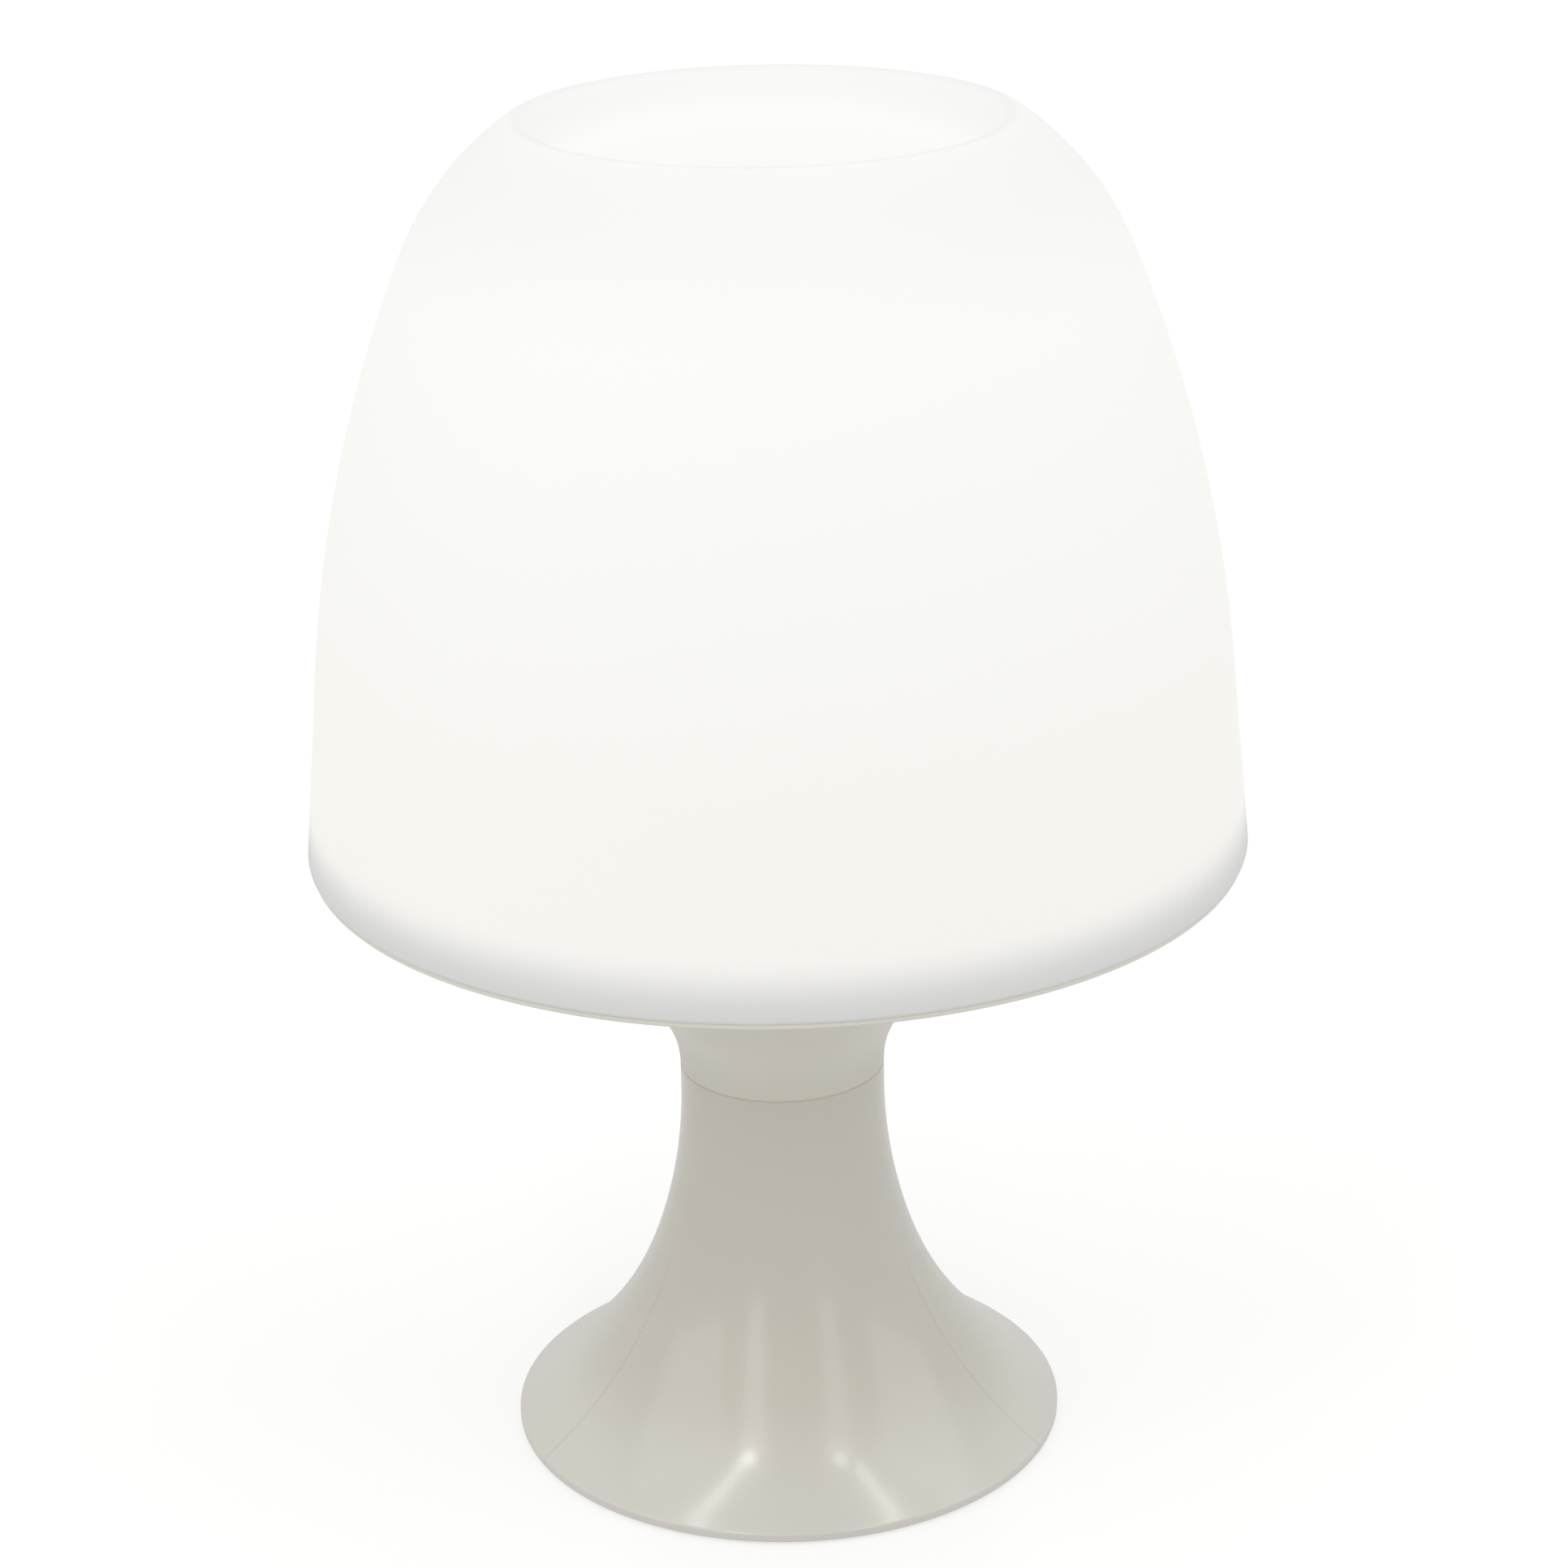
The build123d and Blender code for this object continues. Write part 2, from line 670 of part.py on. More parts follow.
with BuildPart() as upper_bridge:
    with BuildSketch(Plane.XY.offset(upper_face_height)):
        with Locations(middle_bc):
            SlotCenterToCenter(cell_spacing, contact_width, rotation=turn_bc)
    extrude(amount=contact_thickness)
    with Locations(leaf_turn_b):
        add(inner_leaf)
upper_bridge.part.label = "upper_bridge"

# Positive plate over the first cell, riveted through the end disc to a button at the centre
with BuildPart() as positive_plate:
    with BuildSketch(Plane.XY.offset(upper_face_height)):
        with Locations(cell_points[0]):
            Circle(contact_width / 2)
    extrude(amount=contact_thickness)
    with BuildSketch(Plane.XY.offset(upper_contact_height)):
        with Locations(cell_points[0]):
            Circle(cell_nub_radius / 2)
    extrude(amount=end_thickness)
    with BuildSketch(Plane.XY.offset(cartridge_top_height)):
        with Locations((cell_points[0][0] / 2, cell_points[0][1] / 2)):
            SlotCenterToCenter(cell_pitch_radius, 2 * cell_nub_radius, rotation=fixing_start_angle)
    extrude(amount=contact_thickness)
    with BuildSketch(Plane.XY.offset(cartridge_top_height)):
        Circle(button_radius)
    extrude(amount=2 * contact_thickness)
positive_plate.part.label = "positive_plate"

# Negative strip: plate under the third cell, a strip up a strut and a ring on the end disc
with BuildPart() as negative_strip:
    with BuildSketch(Plane.XY.offset(lower_contact_height)):
        with Locations(cell_points[2]):
            Circle(contact_width / 2)
        with Locations(tongue_middle):
            SlotCenterToCenter(hypot(*tongue_run), strip_width, rotation=tongue_turn)
        with Locations(strip_point):
            Rectangle(contact_thickness, strip_width, rotation=strip_angle)
        Circle(strip_offset + contact_thickness / 2, mode=Mode.INTERSECT)
    extrude(amount=contact_thickness)
    with BuildSketch(Plane.XY.offset(lower_contact_height)):
        with Locations(strip_point):
            Rectangle(contact_thickness, strip_width, rotation=strip_angle)
    extrude(amount=ring_top_height - lower_contact_height)
    with BuildSketch(Plane.XY.offset(cartridge_top_height)):
        Circle(cartridge_radius - ring_margin_width)
        Circle(ring_inner_radius, mode=Mode.SUBTRACT)
    extrude(amount=contact_thickness)
    with Locations(leaf_turn_c):
        add(inner_leaf)
negative_strip.part.label = "negative_strip"

# Bowed terminals riveted to the diaphragm's underside
bow_length = terminal_length - 2 * terminal_flat_length
ring_offset = (ring_inner_radius + cartridge_radius - ring_margin_width) / 2
with BuildPart() as positive_terminal:
    with Locations(Location((0, 0, diaphragm_bottom_height), (180, 0, 0))):
        add(leaf(bow_length, terminal_gap - 2 * contact_thickness, terminal_width))
    with BuildSketch(Plane.XY.offset(diaphragm_bottom_height)):
        with Locations((tag_offset, 0)):
            Circle(tag_radius)
    extrude(amount=diaphragm_thickness + tag_height)
positive_terminal.part.label = "positive_terminal"

with BuildPart() as negative_terminal:
    with Locations(Location((0, ring_offset, diaphragm_bottom_height), (180, 0, 0))):
        add(leaf(bow_length, terminal_gap - contact_thickness, ring_inner_radius / 4))
    with BuildSketch(Plane.XY.offset(diaphragm_bottom_height)):
        with Locations((-lane_offset - tab_width / 4, (ring_offset + lane_radius) / 2)):
            Rectangle(tab_width, lane_radius - ring_offset + 2 * wire_radius)
    extrude(amount=-contact_thickness)
negative_terminal.part.label = "negative_terminal"

# Tray: a funnel from the neck out to the shade's lower edge
rim_inset = shade_wall + slip_gap
snap_height_mid = snap_offset + snap_height / 2
snap_drift = snap_height_mid * tan(radians(side_angle))
rim_face = shade_radius - snap_drift - rim_inset / cos(radians(side_angle))
with BuildPart() as tray_rim:
    add(bell(rim_inset))
    add(bell(rim_inset + tray_rim_wall), mode=Mode.SUBTRACT)
    with BuildSketch(Plane.XY.offset(lip_bottom_height)):
        Circle(shade_radius)
    extrude(amount=lip_height + tray_rim_height, mode=Mode.INTERSECT)
    with BuildSketch(Plane.XY.offset(shade_foot_height + snap_offset)):
        with PolarLocations(rim_face, snap_count, 180 / snap_count):
            Rectangle(2 * snap_depth, snap_width)
    extrude(amount=snap_height)

with BuildPart() as shade_tray:
    add(funnel(0))
    chamfer(shade_tray.edges().filter_by(GeomType.CIRCLE).sort_by(Axis.Z)[0], length=seam_chamfer_width)
    add(funnel(tray_wall), mode=Mode.SUBTRACT)
    with BuildSketch(Plane.XY.offset(neck_top_height)):
        Circle(lip_radius)
    extrude(amount=shade_foot_height - neck_top_height, mode=Mode.INTERSECT)
    add(tray_rim.part)
    with BuildSketch(Plane.XY.offset(diaphragm_top_height)):
        Circle(spigot_radius)
        Circle(spigot_radius - spigot_wall, mode=Mode.SUBTRACT)
    extrude(amount=web_bottom_height - diaphragm_top_height)
    with BuildSketch(Plane.XY.offset(web_bottom_height)):
        Circle(neck_radius - tray_wall / 4)
    extrude(amount=web_thickness)
    with BuildSketch(Plane.XY.offset(diaphragm_top_height)):
        with PolarLocations(neck_boss_circle_radius, fixing_count, fixing_start_angle):
            Circle(neck_boss_radius)
    extrude(amount=web_bottom_height - diaphragm_top_height)
    with BuildSketch(Plane.XY.offset(web_top_height)):
        with PolarLocations(post_circle_radius, fixing_count, fixing_start_angle):
            Circle(post_radius)
    extrude(amount=post_height)
    with BuildSketch(Plane.XY.offset(diaphragm_top_height)):
        with PolarLocations(neck_boss_circle_radius, fixing_count, fixing_start_angle):
            Circle(small_screw_shank_radius + screw_gap)
    extrude(amount=neck_boss_hole_depth, mode=Mode.SUBTRACT)
    with BuildSketch(Plane.XY.offset(board_bottom_height)):
        with PolarLocations(post_circle_radius, fixing_count, fixing_start_angle):
            Circle(small_screw_shank_radius + screw_gap)
    extrude(amount=-post_hole_depth, mode=Mode.SUBTRACT)
    with BuildSketch(Plane.XY.offset(diaphragm_top_height)):
        with Locations((lane_offset, lane_radius), (tag_offset + wire_sway_offset, 0)):
            Circle(wire_radius + slip_gap)
    extrude(amount=web_top_height - diaphragm_top_height, mode=Mode.SUBTRACT)
shade_tray.part.label = "shade_tray"

# Shade: a thin bell with a dished top and pockets for the tray's snaps
with BuildPart() as shade:
    add(bell(0))
    add(bell(shade_wall), mode=Mode.SUBTRACT)
    split(bisect_by=Plane.XY.offset(shade_foot_height), keep=Keep.TOP)
    lower_edges = shade.edges().filter_by_position(Axis.Z, shade_foot_height, shade_foot_height)
    fillet(lower_edges.sort_by(SortBy.RADIUS)[-1], radius=shade_edge_radius)
    with BuildSketch(Plane.XY.offset(shade_foot_height + snap_offset - slip_gap)):
        with PolarLocations(rim_face, snap_count, 180 / snap_count):
            Rectangle(2 * (snap_depth + slip_gap), snap_width + 2 * slip_gap)
    extrude(amount=snap_height + 2 * slip_gap, mode=Mode.SUBTRACT)
shade.part.label = "shade"

# Screws that hold the tray's neck bosses to the diaphragm
with BuildPart() as neck_screws:
    seat = diaphragm_bottom_height
    with Locations(*around(neck_boss_circle_radius, fixing_count, fixing_start_angle, seat)):
        add(neck_screw)
neck_screws.part.label = "neck_screws"

# Light board on the tray's posts
with BuildPart() as light_board:
    with BuildSketch(Plane.XY.offset(board_bottom_height)):
        Circle(board_radius)
        with PolarLocations(post_circle_radius, fixing_count, fixing_start_angle):
            Circle(small_screw_shank_radius + screw_gap, mode=Mode.SUBTRACT)
    extrude(amount=board_thickness)
light_board.part.label = "light_board"

with BuildPart() as board_screws:
    with Locations(*around(post_circle_radius, fixing_count, fixing_start_angle, board_top_height)):
        add(board_screw)
board_screws.part.label = "board_screws"

with BuildPart() as light_chips:
    with BuildSketch(Plane.XY.offset(board_top_height)):
        with PolarLocations(led_circle_radius, led_count):
            Rectangle(led_size, led_size)
    extrude(amount=led_height)
    with BuildSketch(Plane.XY.offset(board_top_height + led_height)):
        with PolarLocations(led_circle_radius, led_count):
            Circle(led_lens_radius)
    extrude(amount=led_lens_height)
light_chips.part.label = "light_chips"

with BuildPart() as board_resistors:
    with BuildSketch(Plane.XY.offset(board_top_height)):
        with PolarLocations(resistor_offset, fixing_count, fixing_start_angle):
            Rectangle(resistor_length, resistor_width)
    extrude(amount=resistor_height)
board_resistors.part.label = "board_resistors"

# Slide switch on the base plate, with its thumb knob reaching through
switch_top = plate_top_height + switch_height
with BuildPart() as switch_body:
    with BuildSketch(Plane.XY.offset(plate_top_height)):
        with Locations((0, switch_offset)):
            Rectangle(ear_length, switch_width)
        with Locations((-ear_pitch_length / 2, switch_offset), (ear_pitch_length / 2, switch_offset)):
            Circle(ear_screw_shank_radius + screw_gap, mode=Mode.SUBTRACT)
    extrude(amount=ear_thickness)
    with BuildSketch(Plane.XY.offset(plate_top_height)):
        with Locations((0, switch_offset)):
            Rectangle(switch_length, switch_width)
    extrude(amount=switch_height)
    with BuildSketch(Plane.XY.offset(plate_top_height)):
        with Locations((0, switch_offset)):
            Rectangle(slider_length + slide_travel_length + 2 * slip_gap, slider_width + 2 * slip_gap)
    extrude(amount=slider_height + slip_gap, mode=Mode.SUBTRACT)
switch_body.part.label = "switch_body"

with BuildPart() as switch_pins:
    with BuildSketch(Plane.XY.offset(switch_top)):
        with Locations((-pin_pitch_length / 2, switch_offset), (pin_pitch_length / 2, switch_offset)):
            Circle(pin_radius)
    extrude(amount=pin_height)
switch_pins.part.label = "switch_pins"

with BuildPart() as switch_screws:
    ear_top = plate_top_height + ear_thickness
    ear_half = ear_pitch_length / 2
    with Locations((-ear_half, switch_offset, ear_top), (ear_half, switch_offset, ear_top)):
        add(ear_screw)
switch_screws.part.label = "switch_screws"

with BuildPart() as switch_slider:
    with BuildSketch(Plane.XY.offset(plate_top_height)):
        with Locations((slide_travel_length / 2, switch_offset)):
            Rectangle(slider_length, slider_width)
    extrude(amount=slider_height)
    with BuildSketch(Plane.XY.offset(plate_bottom_height)):
        with Locations((slide_travel_length / 2, switch_offset)):
            Rectangle(knob_length, knob_width)
    extrude(amount=plate_thickness)
    with BuildSketch(Plane.XY.offset(plate_bottom_height)):
        with Locations((slide_travel_length / 2, switch_offset)):
            with GridLocations(knob_length / knob_ridges, 0, knob_ridges, 1):
                Rectangle(ridge_width, knob_width)
    extrude(amount=ridge_depth, mode=Mode.SUBTRACT)
switch_slider.part.label = "switch_slider"

# Wires: from the terminals down the sleeve's lanes to the switch, and up to the light board
pin_top = switch_top + pin_height
rise_height = pin_top + wire_rise_height
climb_height = rise_height + wire_climb_height
tag_top = diaphragm_top_height + tag_height
with BuildPart() as negative_wire:
    tab_face = diaphragm_bottom_height - contact_thickness
    lane_top = (-lane_offset, lane_radius, tab_face)
    lane_bend = (-lane_offset, lane_radius, climb_height)
    pin_bend = (-pin_pitch_length / 2, switch_offset, rise_height)
    add(wire((lane_top, lane_bend, pin_bend, (-pin_pitch_length / 2, switch_offset, pin_top))))
negative_wire.part.label = "negative_wire"

with BuildPart() as switched_wire:
    lane_top = (lane_offset, lane_radius, board_bottom_height)
    lane_bend = (lane_offset, lane_radius, climb_height)
    pin_bend = (pin_pitch_length / 2, switch_offset, rise_height)
    add(wire((lane_top, lane_bend, pin_bend, (pin_pitch_length / 2, switch_offset, pin_top))))
switched_wire.part.label = "switched_wire"

with BuildPart() as positive_wire:
    sway_start = (tag_offset, 0, tag_top + (web_bottom_height - tag_top) / 4)
    sway_end = (tag_offset + wire_sway_offset, 0, web_bottom_height - (web_bottom_height - tag_top) / 4)
    board_point = (tag_offset + wire_sway_offset, 0, board_bottom_height)
    add(wire(((tag_offset, 0, tag_top), sway_start, sway_end, board_point)))
positive_wire.part.label = "positive_wire"

# One file for each piece
os.makedirs("parts", exist_ok=True)
export_step(base_shell.part, "parts/base_shell.step")
export_step(shade_tray.part, "parts/shade_tray.step")
export_step(shade.part, "parts/shade.step")
export_step(base_plate.part, "parts/base_plate.step")
export_step(base_plate_screws.part, "parts/base_plate_screws.step")
export_step(feet.part, "parts/feet.step")
export_step(battery_cover.part, "parts/battery_cover.step")
export_step(cover_pad.part, "parts/cover_pad.step")
export_step(battery_sleeve.part, "parts/battery_sleeve.step")
export_step(cartridge_frame.part, "parts/cartridge_frame.step")
export_step(battery_cell_a.part, "parts/battery_cell_a.step")
export_step(battery_cell_b.part, "parts/battery_cell_b.step")
export_step(battery_cell_c.part, "parts/battery_cell_c.step")
export_step(lower_bridge.part, "parts/lower_bridge.step")
export_step(upper_bridge.part, "parts/upper_bridge.step")
export_step(positive_plate.part, "parts/positive_plate.step")
export_step(negative_strip.part, "parts/negative_strip.step")
export_step(positive_terminal.part, "parts/positive_terminal.step")
export_step(negative_terminal.part, "parts/negative_terminal.step")
export_step(neck_screws.part, "parts/neck_screws.step")
export_step(light_board.part, "parts/light_board.step")
export_step(board_screws.part, "parts/board_screws.step")
export_step(light_chips.part, "parts/light_chips.step")
export_step(board_resistors.part, "parts/board_resistors.step")
export_step(switch_body.part, "parts/switch_body.step")
export_step(switch_pins.part, "parts/switch_pins.step")
export_step(switch_screws.part, "parts/switch_screws.step")
export_step(switch_slider.part, "parts/switch_slider.step")
export_step(negative_wire.part, "parts/negative_wire.step")
export_step(switched_wire.part, "parts/switched_wire.step")
export_step(positive_wire.part, "parts/positive_wire.step")
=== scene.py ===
"""Looks of a cordless table lamp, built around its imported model.

Lengths are metres and angles are degrees. The lamp's axis is Z, its feet stand on Z = 0
and its front faces -Y.
"""

import logging
import math
from dataclasses import dataclass, field
from enum import Enum
from typing import Any

import bmesh
import bpy
from mathutils import Matrix, Vector


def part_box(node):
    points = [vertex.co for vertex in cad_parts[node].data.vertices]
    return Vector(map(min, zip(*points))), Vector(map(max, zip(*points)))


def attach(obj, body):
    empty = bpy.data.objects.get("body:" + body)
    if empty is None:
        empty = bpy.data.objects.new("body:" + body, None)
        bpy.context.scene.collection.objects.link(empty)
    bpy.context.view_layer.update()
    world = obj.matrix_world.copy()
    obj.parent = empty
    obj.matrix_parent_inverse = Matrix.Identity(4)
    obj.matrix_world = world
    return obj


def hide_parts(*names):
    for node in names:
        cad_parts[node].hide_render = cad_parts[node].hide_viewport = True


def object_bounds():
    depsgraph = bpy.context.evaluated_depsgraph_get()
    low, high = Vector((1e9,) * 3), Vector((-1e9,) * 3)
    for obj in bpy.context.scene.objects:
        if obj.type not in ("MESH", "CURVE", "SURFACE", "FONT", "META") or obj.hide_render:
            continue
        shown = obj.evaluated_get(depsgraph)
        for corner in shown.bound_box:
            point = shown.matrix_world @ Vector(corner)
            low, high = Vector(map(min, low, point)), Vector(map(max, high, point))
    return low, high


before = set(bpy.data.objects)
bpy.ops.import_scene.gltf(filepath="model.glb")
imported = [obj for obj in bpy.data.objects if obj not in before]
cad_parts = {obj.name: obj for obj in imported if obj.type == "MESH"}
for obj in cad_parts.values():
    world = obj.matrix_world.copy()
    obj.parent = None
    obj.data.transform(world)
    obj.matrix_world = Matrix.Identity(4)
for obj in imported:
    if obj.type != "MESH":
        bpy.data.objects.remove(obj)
cad_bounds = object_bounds()

log = logging.getLogger("table_lamp")

Point = tuple[float, float]
Place = tuple[float, float, float]
Color = tuple[float, float, float, float]
Inputs = dict[str, tuple[str, Any]]
Tree = bpy.types.NodeTree
Socket = bpy.types.NodeSocket
Piece = bpy.types.Object

LAMP_BODY = "lamp"
RECESS_MARK = "recess"
NUMBER = "NodeSocketFloat"
WHOLE_NUMBER = "NodeSocketInt"

# Fineness of the meshes

LONGEST_CHORD = 0.003
WIDEST_STEP = 6.0
MERGE_DISTANCE = 0.000002
CREASE_ANGLE = math.radians(32)
DISC_SEGMENTS = 96
CELL_SEGMENTS = 64
FOOT_SEGMENTS = 64
TUBE_SEGMENTS = 48
SCREW_SEGMENTS = 40
DRILL_SEGMENTS = 32


class Slot(Enum):
    """Material slots of the lamp's record."""

    LIT_SHADE = "lit_shade"
    GLOSS_SHELL = "gloss_shell"
    SATIN_TRAY = "satin_tray"
    UNDERSIDE_PLASTIC = "underside_plastic"
    NATURAL_PLASTIC = "natural_plastic"
    BLACK_PLASTIC = "black_plastic"
    FOOT_RUBBER = "foot_rubber"
    PAD_FOAM = "pad_foam"
    CELL_CAN = "cell_can"
    CONTACT_PLATE = "contact_plate"
    SCREW_STEEL = "screw_steel"
    BOARD_WHITE = "board_white"
    CHIP_PHOSPHOR = "chip_phosphor"
    WIRE_BLACK = "wire_black"
    WIRE_WHITE = "wire_white"
    WIRE_RED = "wire_red"


class Sense(Enum):
    """Way that a screw's shank points along the lamp's axis."""

    UP = 1
    DOWN = -1


# Outlines of turned forms


@dataclass
class Outline:
    """Outline of a turned form, drawn step by step.

    Attributes:
        radius: Distance of the pen from the axis.
        height: Height of the pen.
        heading: Direction of the pen, where 0 is outwards and 90 is up.
        points: Radius and height of each point drawn so far.
    """

    radius: float
    height: float
    heading: float = 0.0
    points: list[Point] = field(default_factory=list)

    def __post_init__(self) -> None:
        """Sets the pen down."""
        self.points.append((self.radius, self.height))

    def to(self, radius: float, height: float) -> "Outline":
        """Draws a straight step to a place and takes its direction.

        Args:
            radius: Distance of the step's end from the axis.
            height: Height of the step's end.

        Returns:
            The outline itself.
        """
        self.heading = math.degrees(math.atan2(height - self.height, radius - self.radius))
        self.radius = radius
        self.height = height
        self.points.append((radius, height))
        return self

    def ahead(self, length: float) -> "Outline":
        """Draws a straight step of a length along the heading and returns the outline."""
        turn = math.radians(self.heading)
        return self.to(self.radius + length * math.cos(turn), self.height + length * math.sin(turn))

    def arc(self, radius: float, turn: float) -> "Outline":
        """Draws an arc that leaves along the heading.

        Args:
            radius: Radius of the arc.
            turn: Angle that the arc turns through, to the left when positive.

        Returns:
            The outline itself.
        """
        side = math.copysign(1.0, turn)
        start = math.radians(self.heading)
        centre_radius = self.radius - side * radius * math.sin(start)
        centre_height = self.height + side * radius * math.cos(start)
        length = radius * math.radians(abs(turn))
        steps = max(math.ceil(abs(turn) / WIDEST_STEP), math.ceil(length / LONGEST_CHORD), 1)
        for step in range(1, steps + 1):
            angle = start + math.radians(turn) * step / steps
            self.radius = centre_radius + side * radius * math.sin(angle)
            self.height = centre_height - side * radius * math.cos(angle)
            self.points.append((self.radius, self.height))
        self.heading += turn
        return self


def two_arcs(start: Point, end: Point, angles: tuple[float, float, float]) -> Point:
    """Finds two tangent arcs that turn left through three headings between two places.

    Args:
        start: Radius and height where the first arc starts.
        end: Radius and height where the second arc ends.
        angles: Headings at the start, at the joint of the arcs and at the end.

    Returns:
        The radii of the first and the second arc.
    """
    first, middle, last = [math.radians(angle) for angle in angles]
    across = end[0] - start[0]
    up = end[1] - start[1]
    first_across = math.sin(middle) - math.sin(first)
    first_up = math.cos(first) - math.cos(middle)
    last_across = math.sin(last) - math.sin(middle)
    last_up = math.cos(middle) - math.cos(last)
    area = first_across * last_up - last_across * first_up
    first_radius = (across * last_up - last_across * up) / area
    last_radius = (first_across * up - first_up * across) / area
    return first_radius, last_radius


def around(radius: float, count: int, start: float, height: float) -> list[Place]:
    """Spaces places evenly round the lamp's axis, the first of them in the direction of the start."""
    turns = [math.radians(start + 360 * step / count) for step in range(count)]
    return [(radius * math.cos(turn), radius * math.sin(turn), height) for turn in turns]


# Node trees


class Graph:
    """Short forms for adding and joining the nodes of one tree."""

    def __init__(self, tree: Tree) -> None:
        """Keeps the tree that is worked on."""
        self.tree = tree

    def put(self, socket: Socket, value: Any) -> None:
        """Joins a socket to another one or sets its value.

        Args:
            socket: Input socket.
            value: Output socket to join, or a plain value.
        """
        if isinstance(value, Socket):
            self.tree.links.new(value, socket)
        else:
            socket.default_value = value

    def add(self, kind: str, inputs: dict[str | int, Any] | None = None, **settings: Any) -> bpy.types.Node:
        """Adds a node.

        Args:
            kind: Type name of the node.
            inputs: Values or sockets for its inputs, by name or by index.
            **settings: Properties of the node.

        Returns:
            The node.
        """
        node = self.tree.nodes.new(kind)
        for name, value in settings.items():
            setattr(node, name, value)
        for name, value in (inputs or {}).items():
            self.put(node.inputs[name], value)
        return node

    def math(self, operation: str, *values: Any, clamp: bool = False) -> Socket:
        """Adds a math node, kept between 0 and 1 if it is clamped, and returns its result's socket."""
        node = self.add("ShaderNodeMath", dict(enumerate(values)), operation=operation, use_clamp=clamp)
        return node.outputs[0]

    def mix(self, factor: Any, first: Any, second: Any) -> Socket:
        """Adds a mix of two colours by the share of the second and returns its socket."""
        # The node's sockets for colours share their names with others, so they go by index
        node = self.add("ShaderNodeMix", {0: factor, 6: first, 7: second}, data_type="RGBA")
        return node.outputs[2]

    def ramp(self, value: Any, low: Any, high: Any, bottom: Any = 0.0, top: Any = 1.0) -> Socket:
        """Adds a smooth change between two limits.

        Args:
            value: Value or socket that drives the change.
            low: Value where the change starts.
            high: Value where the change ends.
            bottom: Result at the low limit.
            top: Result at the high limit.

        Returns:
            The result's socket.
        """
        node = self.add("ShaderNodeMapRange", interpolation_type="SMOOTHSTEP")
        for index, given in enumerate((value, low, high, bottom, top)):
            self.put(node.inputs[index], given)
        return node.outputs[0]

    def place(self) -> Socket:
        """Adds the place on the object, in the object's own frame."""
        return self.add("ShaderNodeTexCoord").outputs["Object"]


def open_group(name: str, inputs: dict[str, float], *outputs: str) -> tuple[Graph, Any, Any]:
    """Starts a shader node group that takes and gives plain numbers.

    Args:
        name: Name of the group.
        inputs: Starting value of each named input.
        *outputs: Names of the outputs.

    Returns:
        The group's graph, its input sockets by name and its output node's sockets by name.
    """
    tree = bpy.data.node_groups.new(name, "ShaderNodeTree")
    for label, value in inputs.items():
        socket = tree.interface.new_socket(name=label, in_out="INPUT", socket_type=NUMBER)
        socket.default_value = value
    for label in outputs:
        tree.interface.new_socket(name=label, in_out="OUTPUT", socket_type=NUMBER)
    graph = Graph(tree)
    entry = graph.add("NodeGroupInput")
    leave = graph.add("NodeGroupOutput")
    return graph, entry.outputs, leave.inputs


def grain_group() -> Tree:
    """Builds the fine grain of moulded plastic.

    Returns:
        A group that puts out the grain's height and a slow cloud, both from 0 to 1.
    """
    inputs = {"Grain Scale": 2000.0, "Cloud Scale": 40.0}
    graph, given, out = open_group("moulded_grain", inputs, "Height", "Cloud")
    place = graph.place()
    fine = graph.add("ShaderNodeTexNoise", {"Vector": place, "Scale": given["Grain Scale"], "Detail": 3.0})
    cloud = graph.add("ShaderNodeTexNoise", {"Vector": place, "Scale": given["Cloud Scale"], "Detail": 4.0})
    graph.put(out["Height"], fine.outputs["Fac"])
    graph.put(out["Cloud"], graph.ramp(cloud.outputs["Fac"], low=0.3, high=0.7))
    return graph.tree


def band_group() -> Tree:
    """Builds a soft change over the lamp's height.

    Returns:
        A group that puts out 0 below a low height, 1 above a high one and a smooth change between them.
    """
    graph, given, out = open_group("height_band", {"Low": 0.0, "High": 0.01}, "Share")
    split = graph.add("ShaderNodeSeparateXYZ", {"Vector": graph.place()})
    graph.put(out["Share"], graph.ramp(split.outputs["Z"], given["Low"], given["High"]))
    return graph.tree


def scuff_group() -> Tree:
    """Builds the fine rubbing marks that handling leaves.

    Returns:
        A group that puts out a mask of long thin marks, from 0 to 1.
    """
    graph, given, out = open_group("handling_scuffs", {"Scale": 60.0, "Amount": 0.5}, "Mask")
    place = graph.place()
    bend = graph.add("ShaderNodeTexNoise", {"Vector": place, "Scale": 18.0, "Detail": 2.0})
    farthest = (0.02, 0.02, 0.02)
    push = {0: bend.outputs["Color"], 1: farthest}
    pushed = graph.add("ShaderNodeVectorMath", push, operation="MULTIPLY")
    moved = graph.add("ShaderNodeVectorMath", {0: place, 1: pushed.outputs[0]}, operation="ADD")
    stretched = graph.add("ShaderNodeMapping", {"Vector": moved.outputs[0], "Scale": (9.0, 1.0, 2.5)})
    marks = graph.add("ShaderNodeTexNoise", {"Vector": stretched.outputs[0], "Detail": 5.0})
    graph.put(marks.inputs["Scale"], given["Scale"])
    thin = graph.ramp(marks.outputs["Fac"], low=0.58, high=0.74)
    graph.put(out["Mask"], graph.math("MULTIPLY", thin, given["Amount"], clamp=True))
    return graph.tree


